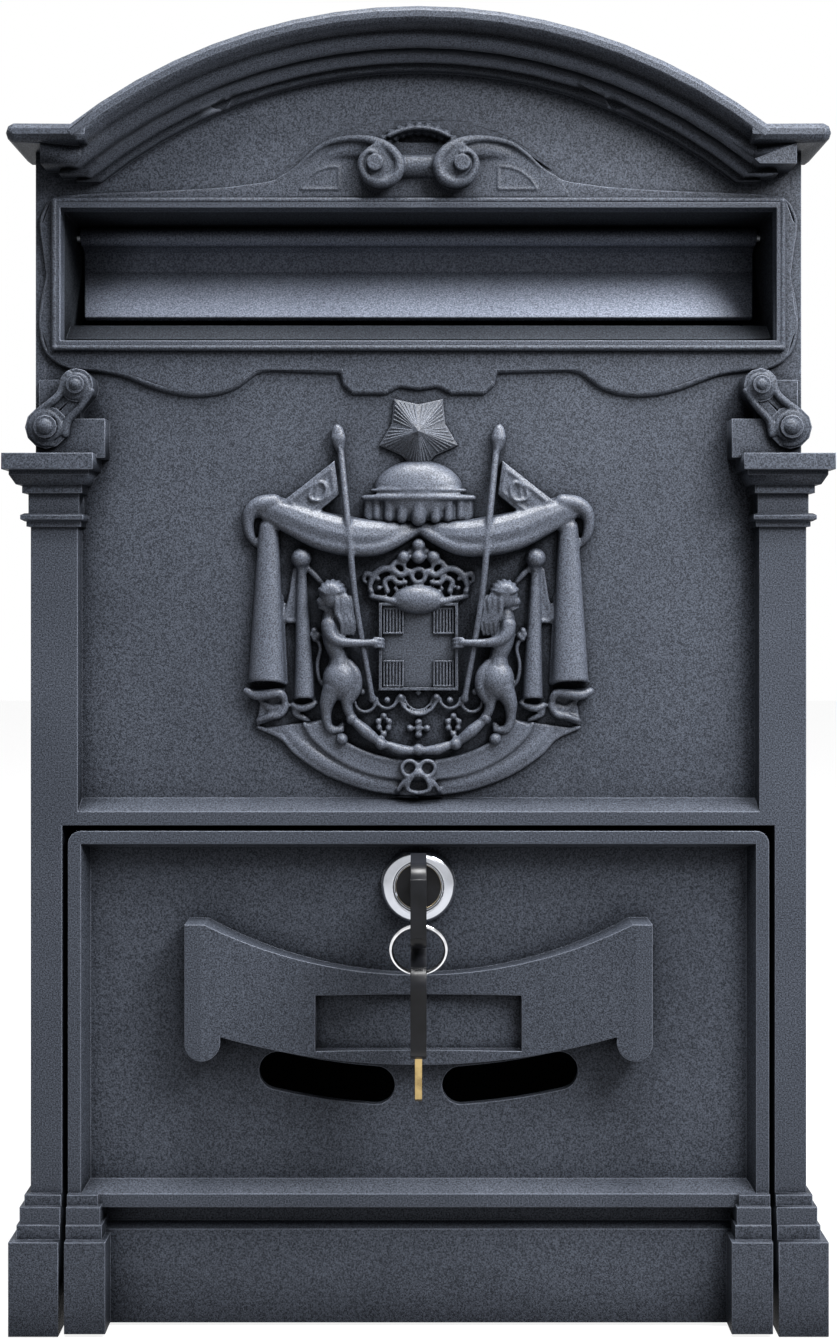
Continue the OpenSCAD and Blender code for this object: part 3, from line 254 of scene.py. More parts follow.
@dataclass(frozen=True)
class PlatedMetal:
    """Plated or drawn metal: bright, with faint drawing lines and cloudy wear."""

    name: str
    colour: str
    dull: str
    roughness: float
    line_mm: float = 0.35
    lines_deep_mm: float = 0.004

    def material(self) -> bpy.types.Material:
        """Builds the metal, with lines along the object's height."""
        nodes = Nodes(self.name)
        coords = nodes.add("ShaderNodeTexCoord")
        stretch = nodes.add("ShaderNodeMapping", {"Scale": (1.0, 1.0, 0.06)},
                            {"Vector": coords.outputs["Object"]})
        lines = nodes.add(
            "ShaderNodeTexNoise", {"Scale": 1000 / self.line_mm, "Detail": 2.0},
            {"Vector": stretch.outputs["Vector"]}
        )
        cloud = nodes.add("ShaderNodeTexNoise", {"Scale": 260.0, "Detail": 4.0},
                          {"Vector": coords.outputs["Object"]})
        rough = nodes.add(
            "ShaderNodeMapRange",
            {"From Min": 0.3, "From Max": 0.7, "To Min": self.roughness * 0.7,
             "To Max": self.roughness * 1.4},
            {"Value": cloud.outputs["Fac"]},
        )
        bump = nodes.add(
            "ShaderNodeBump", {"Strength": 0.3, "Distance": self.lines_deep_mm / 1000},
            {"Height": lines.outputs["Fac"]}
        )
        tone = nodes.add(
            "ShaderNodeValToRGB", {"stops": [(0.35, self.dull), (0.6, self.colour)]},
            {"Fac": cloud.outputs["Fac"]}
        )
        nodes.feed("Base Color", tone.outputs["Color"])
        nodes.feed("Roughness", rough.outputs["Result"])
        nodes.feed("Normal", bump.outputs["Normal"])
        nodes.shader.inputs["Metallic"].default_value = 1.0
        return nodes.material


@dataclass(frozen=True)
class MouldedPlastic:
    """Injection-moulded plastic: even and dark, with a fine spark-eroded skin."""

    name: str
    base: str
    high: str
    roughness: float = 0.42
    gloss: float = 0.16

    def material(self) -> bpy.types.Material:
        """Builds the plastic with a 0.25 mm skin."""
        nodes = Nodes(self.name)
        coords = nodes.add("ShaderNodeTexCoord")
        skin = nodes.add("ShaderNodeTexNoise", {"Scale": 4000.0, "Detail": 2.0},
                         {"Vector": coords.outputs["Object"]})
        cloud = nodes.add("ShaderNodeTexNoise", {"Scale": 140.0, "Detail": 3.0},
                          {"Vector": coords.outputs["Object"]})
        bump = nodes.add("ShaderNodeBump", {"Strength": 0.25, "Distance": 0.00003},
                         {"Height": skin.outputs["Fac"]})
        tone = nodes.add(
            "ShaderNodeValToRGB", {"stops": [(0.3, self.base), (0.7, self.high)]},
            {"Fac": cloud.outputs["Fac"]}
        )
        nodes.feed("Base Color", tone.outputs["Color"])
        nodes.feed("Normal", bump.outputs["Normal"])
        nodes.shader.inputs["Roughness"].default_value = self.roughness
        nodes.shader.inputs["Specular IOR Level"].default_value = self.gloss
        return nodes.material


# Castings: a dark, matt, sandy coat, its edges painted paler as wear and as a painted highlight, and painted
# darker in recesses as painted shade.
CAST_COAT = PowderCoat(
    "cast_powder_coat", "#1f2228", "#4a4f59", "#7b818e", grain_mm=0.45, grain_depth_mm=0.1, gloss=0.12
)
# Rounded forms of the relief: the casting's coat painted paler, as painted light, and smoother, so that they
# shine along their tops.
RELIEF_COAT_PAINTED_PALER = PowderCoat("relief_coat_painted_paler", "#292c34", "#5a606c", "#969dab", 0.44, 0.42, 0.03, gloss=0.26)
# Star and shield: as the relief, with crisp edges.
CRISP_COAT = PowderCoat("crisp_powder_coat", "#23262c", "#4c515b", "#8a909d", 0.44, 0.5, 0.05, edge_mm=0.15,
                        gloss=0.2)
# Folded casing: a thinner, flatter coat that stays almost black.
SHEET_COAT = PowderCoat("sheet_powder_coat", "#1b1d21", "#32363c", "#555a63", 0.6, grain_depth_mm=0.04,
                        gloss=0.05)
# Flap: a smoother coat painted paler than the castings, as painted light that stands in for the light on its
# lip.
FLAP_COAT_PAINTED_PALER = PowderCoat("flap_coat_painted_paler", "#565c69", "#8f96a6", "#a4aab8", 0.55, grain_depth_mm=0.04,
                       gloss=0.2)
# Rivets, screws, brackets and cam: zinc, bright but cloudy.
ZINC = PlatedMetal("zinc_plate", "#b9bec4", "#8d9299", 0.34)
# Lock: chrome, which mirrors the pale room.
CHROME = PlatedMetal("chrome_plate", "#b9bcc3", "#b2b5bc", 0.13, line_mm=0.5, lines_deep_mm=0.0)
# Key ring: nickelled wire, almost white.
RING_WIRE = PlatedMetal("nickel_wire", "#dcdde0", "#b4b5b8", 0.16, line_mm=0.4, lines_deep_mm=0.001)
# Key blades: milled brass, dull gold with fine lines.
BRASS = PlatedMetal("milled_brass", "#b39c6c", "#8a7650", 0.34, line_mm=0.3, lines_deep_mm=0.006)
# Plug: blackened metal, darker than all round it.
PLUG_BLACK = MouldedPlastic("plug_black_oxide", "#0c0c0e", "#131417", 0.25)
# Key bows: black plastic with a soft sheen.
BOW_BLACK = MouldedPlastic("bow_black_plastic", "#0d0e10", "#191a1e", 0.3)


# Mesh building


class Form:
    """A bmesh in the frame that grows from operator-made solids."""

    def __init__(self) -> None:
        """Starts empty."""
        self.bm = bmesh.new()

    def ball(self, centre: Vector, radius: float, squash: Spot = (1.0, 1.0, 1.0), detail: int = 2) -> None:
        """Adds a ball.

        Args:
            centre: Its centre in metres.
            radius: Its radius in mm.
            squash: Factors along x, y and z.
            detail: Subdivisions of the ball.
        """
        shape = Matrix.Translation(centre) @ Matrix.Diagonal((*squash, 1.0))
        bmesh.ops.create_icosphere(self.bm, subdivisions=detail, radius=radius / 1000, matrix=shape)

    def limb(self, start: Vector, end: Vector, start_r: float, end_r: float, sides: int = 12) -> None:
        """Adds a tapered rod between two points, with radii in mm."""
        along = end - start
        if along.length < 1e-7:
            return
        turn = along.to_track_quat("Z", "Y").to_matrix().to_4x4()
        bmesh.ops.create_cone(
            self.bm,
            cap_ends=True,
            segments=sides,
            radius1=start_r / 1000,
            radius2=end_r / 1000,
            depth=along.length,
            matrix=Matrix.Translation((start + end) / 2) @ turn,
        )

    def strand(self, path: Sequence[Vector], radii: Sequence[float], flat: float = 1.0,
               step: float = 1.0) -> None:
        """Adds a smooth rounded strand.

        Args:
            path: Points that it passes, in metres.
            radii: Radius at each point in mm.
            flat: Its thickness off the field as a share of its width.
            step: Spacing of its beads in mm.
        """
        course, sizes = smooth_course(path, radii, step)
        part = Form()
        for i, (place, size) in enumerate(zip(course, sizes)):
            part.ball(place, size, (1.0, flat, 1.0))
            if i and flat > 0.95:
                part.limb(course[i - 1], place, sizes[i - 1], size, 14)
        self.absorb(part)

    def tube(self, start: Vector, end: Vector, start_r: float, end_r: float, flat: float) -> None:
        """Adds a tapered, flattened tube with level ends, with radii in mm."""
        along = end - start
        turn = along.to_track_quat("Z", "Y").to_matrix().to_4x4()
        squash = Matrix.Diagonal((1.0, flat, 1.0, 1.0))
        shape = Matrix.Translation((start + end) / 2) @ squash @ turn
        bmesh.ops.create_cone(
            self.bm, cap_ends=True, segments=48, radius1=start_r / 1000, radius2=end_r / 1000,
            depth=along.length,
            matrix=shape
        )

    def everything(self) -> list[bmesh.types.BMVert | bmesh.types.BMEdge | bmesh.types.BMFace]:
        """All its vertices, edges and faces."""
        return [*self.bm.verts, *self.bm.edges, *self.bm.faces]

    def absorb(self, part: "Form") -> None:
        """Takes over the solids of another form, which ends with that."""
        mesh = bpy.data.meshes.new("part")
        part.bm.to_mesh(mesh)
        part.bm.free()
        self.bm.from_mesh(mesh)
        bpy.data.meshes.remove(mesh)

    def plate(self, outline: Sequence[Vector], depth_mm: float) -> list[bmesh.types.BMVert]:
        """Adds a flat plate.

        Args:
            outline: Corners of its front face in metres.
            depth_mm: Its depth towards the wall, or 0 for a bare face.

        Returns:
            The vertices of its front face.
        """
        verts = [self.bm.verts.new(p) for p in outline]
        edges = [self.bm.edges.new((a, b)) for a, b in zip(verts, verts[1:] + verts[:1])]
        face = bmesh.ops.contextual_create(self.bm, geom=edges)["faces"]
        if not depth_mm:
            return verts
        grown = bmesh.ops.extrude_face_region(self.bm, geom=face)["geom"]
        back = [v for v in grown if isinstance(v, bmesh.types.BMVert)]
        bmesh.ops.translate(self.bm, verts=back, vec=(0, depth_mm / 1000, 0))
        return verts

    def copy_of(self, node: bpy.types.Object) -> None:
        """Adds a merged copy of a CAD node's mesh."""
        self.bm.from_mesh(node.data)
        bmesh.ops.remove_doubles(self.bm, verts=self.bm.verts, dist=2e-6)

    def block(self, low: Vector, high: Vector) -> None:
        """Adds a block between two corners."""
        size = high - low
        scale = Matrix.Diagonal((abs(size.x), abs(size.y), abs(size.z), 1.0))
        shape = Matrix.Translation((low + high) / 2) @ scale
        bmesh.ops.create_cube(self.bm, size=1.0, matrix=shape)

    def ring(self, centre: Vector, radius: float, wire: float, sweep: float = 360.0, start: float = 0.0,
             lean: float = 0.0) -> None:
        """Adds a ring or an arc of round wire that faces the viewer.

        Args:
            centre: Its centre in metres.
            radius: Radius to the middle of the wire in mm.
            wire: Radius of the wire in mm.
            sweep: Angle that it covers in degrees.
            start: Angle of its start from +x towards +z.
            lean: Turn about x in degrees.
        """
        count = max(6, int(abs(sweep) / 360 * (radius * 6.3) / max(wire * 0.5, 0.25)))
        turn = Matrix.Rotation(math.radians(lean), 3, "X")
        part = Form()
        previous = None
        for i in range(count + 1):
            angle = math.radians(start + sweep * i / count)
            place = centre + turn @ (Vector((math.cos(angle), 0, math.sin(angle))) * radius / 1000)
            part.ball(place, wire, detail=1)
            if previous is not None:
                part.limb(previous, place, wire, wire, 10)
            previous = place
        self.absorb(part)

    def mirror(self) -> None:
        """Adds the same forms on the other side of the box."""
        bmesh.ops.mirror(self.bm, geom=self.everything(), merge_dist=0.0, axis="X")

    def trim_behind(self, rise: float) -> None:
        """Cuts away what lies behind a height above the field and leaves the back open."""
        bmesh.ops.bisect_plane(
            self.bm, geom=self.everything(), plane_co=spot(0, rise, 0), plane_no=(0, 1, 0), clear_outer=True
        )

    def to_object(self, name: str, material: bpy.types.Material | None = None) -> bpy.types.Object:
        """Ends the form as an object of the scene.

        Args:
            name: Name of the object and its mesh.
            material: Its finish, if it has one.

        Returns:
            The object.
        """
        mesh = bpy.data.meshes.new(name)
        self.bm.to_mesh(mesh)
        self.bm.free()
        if material:
            mesh.materials.append(material)
        obj = bpy.data.objects.new(name, mesh)
        bpy.context.scene.collection.objects.link(obj)
        return obj

    def finish(self, name: str, material: bpy.types.Material, body: str, slot: str,
               crease: float = 40.0) -> bpy.types.Object:
        """Turns the form into an object that rides on a body.

        Args:
            name: Name of the piece.
            material: Its finish.
            body: The CAD body that it rides on.
            slot: The record's material slot; not used.
            crease: Angle past which an edge is sharp, in degrees.

        Returns:
            The object.
        """
        bmesh.ops.recalc_face_normals(self.bm, faces=self.bm.faces)
        obj = self.to_object(name, material)
        obj.data.polygons.foreach_set("use_smooth", [True] * len(obj.data.polygons))
        obj.data.set_sharp_from_angle(angle=math.radians(crease))
        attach(obj, body)
        return obj


def smooth_course(
    path: Sequence[Vector], radii: Sequence[float], step: float
) -> tuple[list[Vector], list[float]]:
    """Samples a smooth curve through the points of a path.

    Args:
        path: Points in metres.
        radii: Radius at each point in mm.
        step: Spacing in mm.

    Returns:
        The sampled points and their radii.
    """
    places, sizes = [], []
    last = len(path) - 1
    for i in range(last):
        before, a, b, after = path[max(i - 1, 0)], path[i], path[i + 1], path[min(i + 2, last)]
        count = max(1, math.ceil((b - a).length * 1000 / step))
        for k in range(count):
            t = k / count
            places.append(0.5 * (2 * a + (b - before) * t + (2 * before - 5 * a + 4 * b - after) * t**2
                                 + (3 * a - before - 3 * b + after) * t**3))
            sizes.append(radii[i] + (radii[i + 1] - radii[i]) * t)
    return places + [path[last].copy()], sizes + [radii[last]]


def fused(form: Form, name: str, voxel_mm: float, smoothing: int, cut_rise: float) -> Form:
    """Fuses overlapping solids into one skin, as a casting is.

    Args:
        form: The overlapping solids.
        name: Name for the working object.
        voxel_mm: Size of the remesh grid.
        smoothing: Rounds of smoothing.
        cut_rise: Height above the field behind which the skin is cut away.

    Returns:
        A form with the fused skin.
    """
    work = form.to_object(name + "_work")
    remesh = work.modifiers.new("skin", "REMESH")
    remesh.mode = "VOXEL"
    remesh.voxel_size = voxel_mm / 1000
    graph = bpy.context.evaluated_depsgraph_get()
    skin = bpy.data.meshes.new_from_object(work.evaluated_get(graph))
    out = Form()
    out.bm.from_mesh(skin)
    bpy.data.objects.remove(work)
    for _ in range(smoothing):
        bmesh.ops.smooth_vert(out.bm, verts=out.bm.verts, factor=0.5, use_axis_x=True, use_axis_y=True,
                              use_axis_z=True)
    out.trim_behind(cut_rise)
    return out


# The crest of the sunk field. Its points are x, height above the shield's centre and height above the field.


@dataclass
class Crest:
    """Cast coat of arms: a star and a domed canopy over a mantle, with a crowned shield held by two lions."""

    cut_rise: float = -0.5
    star_r: float = 12.9
    star_notch_r: float = 8.8
    star_v: float = 67.2
    star_peak: float = 4.6
    shield_half: float = 12.3
    shield_top: float = 13.9
    shield_foot: float = -13.3
    shield_border: float = 0.8
    pieces: list[bpy.types.Object] = field(default_factory=list)

    def run(self, form: Form, points: Sequence[Spot], radii: Sequence[float], flat: float = 1.0,
            step: float = 0.8) -> None:
        """Adds a strand through crest points."""
        form.strand([on_crest(p) for p in points], radii, flat, step)

    def knob(self, form: Form, point: Spot, radius: float, squash: Spot = (1.0, 1.0, 1.0)) -> None:
        """Adds a knob at a crest point."""
        form.ball(on_crest(point), radius, squash, 3 if radius > 2 else 2)

    def sheet(self, form: Form, outline: Sequence[tuple[float, float]], rise: float, depth: float) -> None:
        """Adds a flat plate with crest corners, a rise above the field and a depth, in mm."""
        form.plate([on_crest((u, v, rise)) for u, v in outline], depth)

    def slab(self, form: Form, low: Spot, high: Spot) -> None:
        """Adds a block between two crest points."""
        form.block(on_crest(low), on_crest(high))

    def mantle(self) -> Form:
        """Builds the left half of the mantle with its curl, drapes, pennon and lance."""
        form = Form()
        outline = [(-53, 40), (-52.6, 44), (-48, 47.4), (-42, 46.8), (-35, 42.8), (-24, 39.8), (-14, 38.4),
                   (-4, 38.6), (0.5, 38.4), (0.5, 35), (-6, 32), (-14, 29.6), (-21, 29.4), (-30, 32),
                   (-38, 36.4), (-44, 40), (-49, 40.6)]
        self.sheet(form, outline, 1.8, 4)
        self.run(form, [(-48, 44.2, 1.2), (-40.6, 41, 1.5), (-31, 37, 1.7), (-21.6, 34.9, 1.9),
                        (-12.6, 34.6, 1.7), (-5, 36.4, 1.3), (0.4, 38, 0.8)],
                 [3.2, 5, 6.1, 6.3, 5.4, 3, 1.4], 0.82)
        self.run(form, [(-48.6, 42, 1.6), (-40.7, 37.8, 2.8), (-31.3, 33.2, 3.6), (-21.3, 31, 3.9),
                        (-12.6, 31.2, 3.6), (-4.5, 34.6, 2.6), (0.4, 37.6, 1.6)],
                 [1.8, 2.3, 2.6, 2.7, 2.5, 2, 1.2], 1)
        self.run(form, [(-45, 45.2, 1.8), (-49.4, 44.6, 1.9), (-52.2, 42.6, 1.8), (-53.2, 39.4, 1.7),
                        (-52.7, 35.4, 1.4), (-50.8, 32.2, 0.9)],
                 [2.8, 2.8, 2.3, 1.9, 1.6, 0.9])
        self.drapes(form)
        self.pennon(form)
        self.lance(form)
        return form

    def drapes(self, form: Form) -> None:
        """Adds the two hanging drapes with folded hems, and the ball and ribbons above the inner one."""
        form.ball(on_crest((-46.8, 38, 1.2)), 3.1, (1, 0.74, 0.7), 3)
        form.tube(on_crest((-46.8, 38, 1.2)), on_crest((-47.3, -10.2, 2)), 3.1, 5.8, 0.78)
        self.run(form, [(-42.6, 16, 0.8), (-42, 2, 0.9), (-41.4, -11, 1)], [0.5, 0.7, 0.8])
        self.run(form, [(-53.1, -10.8, 1.4), (-51.4, -10.1, 4), (-48.8, -9.8, 5.7), (-45.4, -9.9, 5.7),
                        (-43, -10.4, 4.2), (-41.4, -11.4, 1.6)], [0.6] * 6, 1, 0.4)
        self.sheet(form, [(-53.4, -12.8), (-41.8, -12.6), (-41.6, -21.4), (-50.8, -24.6), (-49.6, -17.4)],
                   1.4, 2.4)
        self.run(form, [(-53.7, -13.6, 2.2), (-50.6, -14.8, 3), (-46.4, -14.4, 3.2), (-43.2, -14.2, 2.8),
                        (-41.8, -16, 2.2)], [1.2, 1.6, 1.6, 1.4, 1.2], 1, 0.5)
        self.run(form, [(-41.9, -16, 2), (-41.7, -18.8, 1.9), (-43.4, -21, 2), (-46.6, -21.6, 2),
                        (-50.2, -22.8, 1.5)],
                 [1.1, 1.2, 1.2, 1.1, 0.8], 1, 0.5)
        self.run(form, [(-48.6, -17, 1.2), (-46, -19.2, 1.2), (-43.6, -18.6, 1.6)], [0.8, 1.5, 1.2])
        self.knob(form, (-36.6, 27.9, 2), 3.2)
        self.run(form, [(-36.6, 25.6, 1.8), (-36.6, 24, 1.6)], [1.5, 1.4])
        form.tube(on_crest((-36.6, 24.4, 1.2)), on_crest((-35.6, -15.6, 1.8)), 1.5, 3.3, 0.9)
        self.run(form, [(-38.8, -15.8, 1.4), (-37, -15.3, 3.8), (-34.6, -15.3, 4), (-32.4, -15.9, 1.6)],
                 [0.5] * 4, 1, 0.4)
        self.run(form, [(-39.2, -18, 1.6), (-37, -18.9, 2.4), (-34.6, -18.6, 2.4), (-32, -17.4, 1.6)],
                 [1, 1.2, 1.2, 0.9], 1, 0.5)
        self.run(form, [(-38.8, -18.8, 1.4), (-38.6, -20.6, 1.4), (-36.4, -21.8, 1.4), (-34.4, -22.8, 1.2)],
                 [0.9, 1, 1, 0.7], 1, 0.5)
        self.sheet(form, [(-38.8, 24.6), (-38, 8.4), (-41.4, 8.8)], 1.4, 2.4)
        self.run(form, [(-38.9, 24.4, 1), (-40.2, 16, 1.1), (-41.4, 8.8, 1.1), (-38.4, 8.3, 1.3)],
                 [0.6, 0.6, 0.7, 0.7])
        self.run(form, [(-34.8, 25, 1.4), (-32.6, 22.8, 1.7), (-30.2, 20, 1.4)], [0.8, 1, 0.8])

    def pennon(self, form: Form) -> None:
        """Adds the small flag on the lance, with its raised hem."""
        self.sheet(form, [(-26.2, 58.2), (-42.4, 45.4), (-35.6, 38.7), (-24.6, 47.6)], 3.9, 5)
        inner = [(-27.3, 55.6), (-40, 45.4), (-35.4, 41), (-26.2, 48.4)]
        for a, b in zip(inner, inner[1:] + inner[:1]):
            self.run(form, [(a[0], a[1], 3.9), (b[0], b[1], 3.9)], [0.45, 0.45])
        self.run(form, [(-33.2, 50, 4), (-30, 51.4, 4.2), (-28.6, 48.8, 4.2), (-30.2, 45.8, 4.2),
                        (-33.8, 46.4, 4.2), (-33.2, 50, 4)], [0.5] * 6)
        self.run(form, [(-31.6, 50.6, 4), (-32, 46.2, 4)], [0.35, 0.35])

    def lance(self, form: Form) -> None:
        """Adds the lance with its leaf-shaped head."""
        self.run(form, [(-25.5, 69.6, 1.6), (-25.2, 67.6, 2), (-25, 65.2, 2.2), (-24.6, 62.6, 2),
                        (-24.3, 61, 1.8)],
                 [0.4, 1.9, 2.5, 1.7, 1], 0.7, 0.5)
        self.run(form, [(-25.5, 69.4, 2.4), (-24.6, 61.6, 3.4)], [0.3, 0.4])
        self.run(form, [(-24.2, 60.8, 2.4), (-21.6, 36, 6), (-19.5, 14.3, 5), (-14.5, -15.6, 2.6)],
                 [1.1, 1.1, 1.05, 1])
        for i in range(1, 19):
            share = i / 19
            u = -24.45 + 9.7 * share - 0.44 * math.sin(share * math.pi)
            rise = 2.75 + 3.7 * min(share * 3, 1) if share < 0.34 else 6.45 - 4.2 * (share - 0.34) / 0.66
            self.knob(form, (u, 60.6 - 76.2 * share, rise), 0.62)
        self.knob(form, (-14.4, -16, 2), 1.5)

    def arms(self) -> Form:
        """Builds the left half of the canopy, crown, bead chains and garland."""
        form = Form()
        dome = on_crest((0, 48.9, 0))
        form.ball(dome, 10, (1.41, 0.62, 0.98), 4)
        self.slab(form, (-0.2, 37, 0.5), (0, 38, 0))
        self.run(form, [(-17.2, 46.7, 2.2), (-9, 46.7, 4.6), (0, 46.7, 5.6)], [0.9, 1.1, 1.1])
        self.run(form, [(-14.4, 49, 2.6), (-8, 49, 4.8), (0, 49, 5.8)], [0.6, 0.7, 0.7])
        self.slab(form, (-16, 39.5, 0), (0, 47, 2.6))
        for i, u in enumerate([0, -5.2, -9.3, -13, -16]):
            rise = 3.4 - 0.14 * i * i
            self.run(form, [(u, 45.4, rise), (u * 1.005, 40.2 + 0.15 * i, rise)],
                     [2.5 if i == 0 else 1.95 - 0.16 * i] * 2, 1, 0.5)
        self.crown(form)
        self.beads(form)
        return form

    def crown(self, form: Form) -> None:
        """Adds the open crown with its orb beads and curled leaves."""
        for point, radius in [((0, 31.9, 2.2), 2.15), ((-4.7, 28.2, 2.2), 2.15), ((0, 28.2, 2.8), 2.15),
                              ((-2.4, 30.2, 1.2), 1.2)]:
            self.knob(form, point, radius)
        form.ring(on_crest((0, 22.4, 2.4)), 2.1, 0.85)
        self.run(form, [(-15.4, 18.4, 1.6), (-14.2, 22.2, 1.8), (-11.4, 24.4, 2), (-8.4, 24.4, 2.2),
                        (-5.4, 22.6, 2.4), (-3, 23.8, 2.4)],
                 [0.8, 1.1, 1.2, 1.1, 1, 1])
        self.run(form, [(-8.6, 24.2, 2.2), (-7.2, 26.6, 2.2), (-4.6, 26, 2.4), (-4.4, 24.6, 2.4)],
                 [1, 1, 0.8, 0.6])
        self.run(form, [(-13.8, 22, 1.8), (-16.4, 23.2, 1.6), (-17.2, 21, 1.4), (-15.8, 20, 1.4)],
                 [0.9, 0.9, 0.7, 0.5])
        self.run(form, [(-9.8, 18, 1.8), (-10.6, 20.6, 1.8), (-8.4, 21.8, 2), (-6.6, 20.2, 2.2),
                        (-4, 20.4, 2.4)],
                 [0.9, 0.9, 0.9, 0.9, 0.8])
        for u, v, r in [(-9.8, 17.6, 1.1), (-14.9, 17.6, 1.1), (-12.4, 18.6, 0.9), (-7.2, 18.4, 0.8),
                        (-6.6, 23.6, 0.8), (-12.6, 21.4, 0.8)]:
            self.knob(form, (u, v, 1.8), r)
        self.knob(form, (0, 15, 1.6), 5.4, (1.55, 0.7, 0.86))
        self.run(form, [(-15.2, 16, 1.4), (-11, 15.2, 2), (-6.4, 14.2, 2.8), (0, 14, 3.2)],
                 [0.8, 1.1, 1.2, 1.3])
        self.slab(form, (-12.4, 12, 0), (0, 15.4, 2))

    def beads(self, form: Form) -> None:
        """Adds the arcs and hanging beads below the shield, and the garland of rods and balls."""
        form.ring(on_crest((0, -15.2, 1.8)), 5.7, 0.65, 180, 180)
        form.ring(on_crest((0, -15.2, 1.4)), 4.3, 0.4, 180, 180)
        form.ring(on_crest((-9.9, -15.8, 1.8)), 3.2, 0.65, 180, 180)
        form.ring(on_crest((-16.7, -16.9, 1.8)), 3.2, 0.65, 180, 180)
        for u, v in [(-17.6, -13.8), (-14.5, -16.2), (-9.8, -16.4), (-5.6, -15.4)]:
            self.knob(form, (u, v, 2), 1.15)
        for v, side in [(-21.4, 0), (-23.2, 1.7), (-25.2, 1.5), (-27.2, 0)]:
            for u in {-10.9 - side, -10.9 + side}:
                self.knob(form, (u, v, 1.4), 1.15)
        for u, v in [(-2.7, -25.3), (0, -27.4), (0, -23.4), (0, -25.3)]:
            self.knob(form, (u, v, 1.2), 1.3)
        for u, v, r in [(-20.9, -22.2, 1.9), (-11.6, -30.1, 2), (0, -31.9, 2), (-23.9, -28.6, 2)]:
            self.knob(form, (u, v, 2.6), r)
        self.run(form, [(-20.2, -22.8, 2.4), (-16.6, -26, 3), (-13.2, -28.8, 2.6)], [1.4, 2, 1.5])
        self.run(form, [(-9.6, -30.4, 2.4), (-6, -31.8, 2.8), (-2.2, -32.2, 2.6)], [1.3, 1.8, 1.4])
        self.run(form, [(-23.6, -24, 1.4), (-25.4, -26.4, 1.6), (-24, -28.4, 1.8)], [0.9, 1.1, 1])

    def lion(self) -> Form:
        """Builds the left lion, upright, with a long combed mane and its paw on the shield."""
        form = Form()
        self.knob(form, (-26.8, 15.9, 3.6), 4, (1, 1, 1.08))
        self.knob(form, (-29.7, 14.4, 4.2), 1.9, (1.1, 1, 0.95))
        self.knob(form, (-31, 14.2, 4.2), 0.8)
        self.run(form, [(-30.7, 12.6, 4), (-29, 12, 4.6)], [0.6, 0.7])
        self.run(form, [(-30.4, 16.6, 4.8), (-28.8, 17.2, 6)], [0.55, 0.6])
        self.knob(form, (-29.2, 15.6, 5.6), 0.6)
        for i in range(7):
            angle = math.radians(160 - 24 * i)
            u, v = math.cos(angle), math.sin(angle)
            self.run(form, [(-27.8, 16.6, 7.2), (-27.2 + 2.4 * u, 16.8 + 2.2 * v, 7.1),
                            (-26.7 + 4 * u, 16.8 + 3.8 * v, 4.4), (-26.6 + 4.3 * u, 16.6 + 4.1 * v, 3)],
                     [0.55, 0.8, 0.8, 0.7], 1, 0.5)
        for i in range(4):
            shift = 1.75 * i
            path = [(-26.2 + shift, 18.6 - 0.9 * i, 6.6 - 0.7 * i), (-25.9 + shift, 14.6, 6.9 - 0.7 * i),
                    (-25 + 0.92 * shift, 11, 6.4 - 0.6 * i),
                    (-24.4 + 0.84 * shift, 7.6, 5.8 - 0.5 * i), (-23.6 + 0.7 * shift, 4, 4.9 - 0.3 * i)]
            wavy = [(u + (0.5 if k % 2 else -0.4), v, rise) for k, (u, v, rise) in enumerate(path)]
            self.run(form, wavy, [0.75, 0.85, 0.85, 0.8, 0.55], 1, 0.5)
        self.run(form, [(-24.6, 15.6, 4.4), (-23.2, 10.6, 3.8), (-21.8, 5, 3)], [2.8, 2.6, 1.8])
        self.run(form, [(-27, 11, 2.8), (-27.2, 6.4, 3), (-26.4, 1.6, 3), (-25, -2.6, 2.8), (-24.8, -6, 2.6)],
                 [2.6, 3.2, 3.2, 2.8, 3.6])
        self.run(form, [(-27.9, 7.2, 4.8), (-27.4, 4.4, 5.4), (-25.2, 2.2, 5.6), (-21, 1.5, 5.2),
                        (-16.4, 1.5, 4.9), (-13.4, 1.6, 4.4)],
                 [2.5, 2.1, 1.8, 1.4, 1.15, 1.1])
        for dv in (-1.15, 0, 1.15):
            self.run(form, [(-13.6, 1.6 + dv, 4.5), (-11.6, 1.5 + dv, 4.1), (-10.8, 1.2 + dv, 3.2)],
                     [0.62, 0.6, 0.5])
        self.knob(form, (-24.6, -10, 2.8), 5.3, (1, 0.86, 1.22))
        self.run(form, [(-22, -4.6, 3.6), (-19.8, -8, 3.6), (-19.6, -12.4, 3.2), (-21.6, -16.4, 3)],
                 [1.3, 1.9, 2.1, 1.7])
        self.run(form, [(-26.4, -12.6, 3.2), (-28.4, -16.8, 3.2), (-28.8, -20.6, 2.8), (-28.4, -23.6, 2.6),
                        (-27.2, -25.6, 2.4), (-24.2, -25.7, 2.2)],
                 [3.6, 2.4, 1.7, 1.4, 1.5, 1.1], 1, 0.6)
        for i in range(3):
            self.knob(form, (-23.8 - 0.4 * i, -24.9 - 0.8 * i, 2.2), 0.75)
        self.run(form, [(-22.6, -13.6, 3), (-22.4, -17.4, 2.8), (-21.6, -20.4, 2.6), (-20.4, -22, 2.4)],
                 [2.8, 1.8, 1.5, 1.3])
        self.run(form, [(-28.6, -13.4, 1.2), (-31, -10, 1.4), (-31.6, -5.4, 1.5), (-30.6, -0.6, 1.5),
                        (-31.2, 1.6, 1.5)], [0.7, 0.75, 0.7, 0.7, 0.8])
        for u, v in [(-32.4, 2.8), (-31.4, 3.8), (-33.2, 4), (-32.6, 5.2)]:
            self.knob(form, (u, v, 1.7), 1.15)
        return form

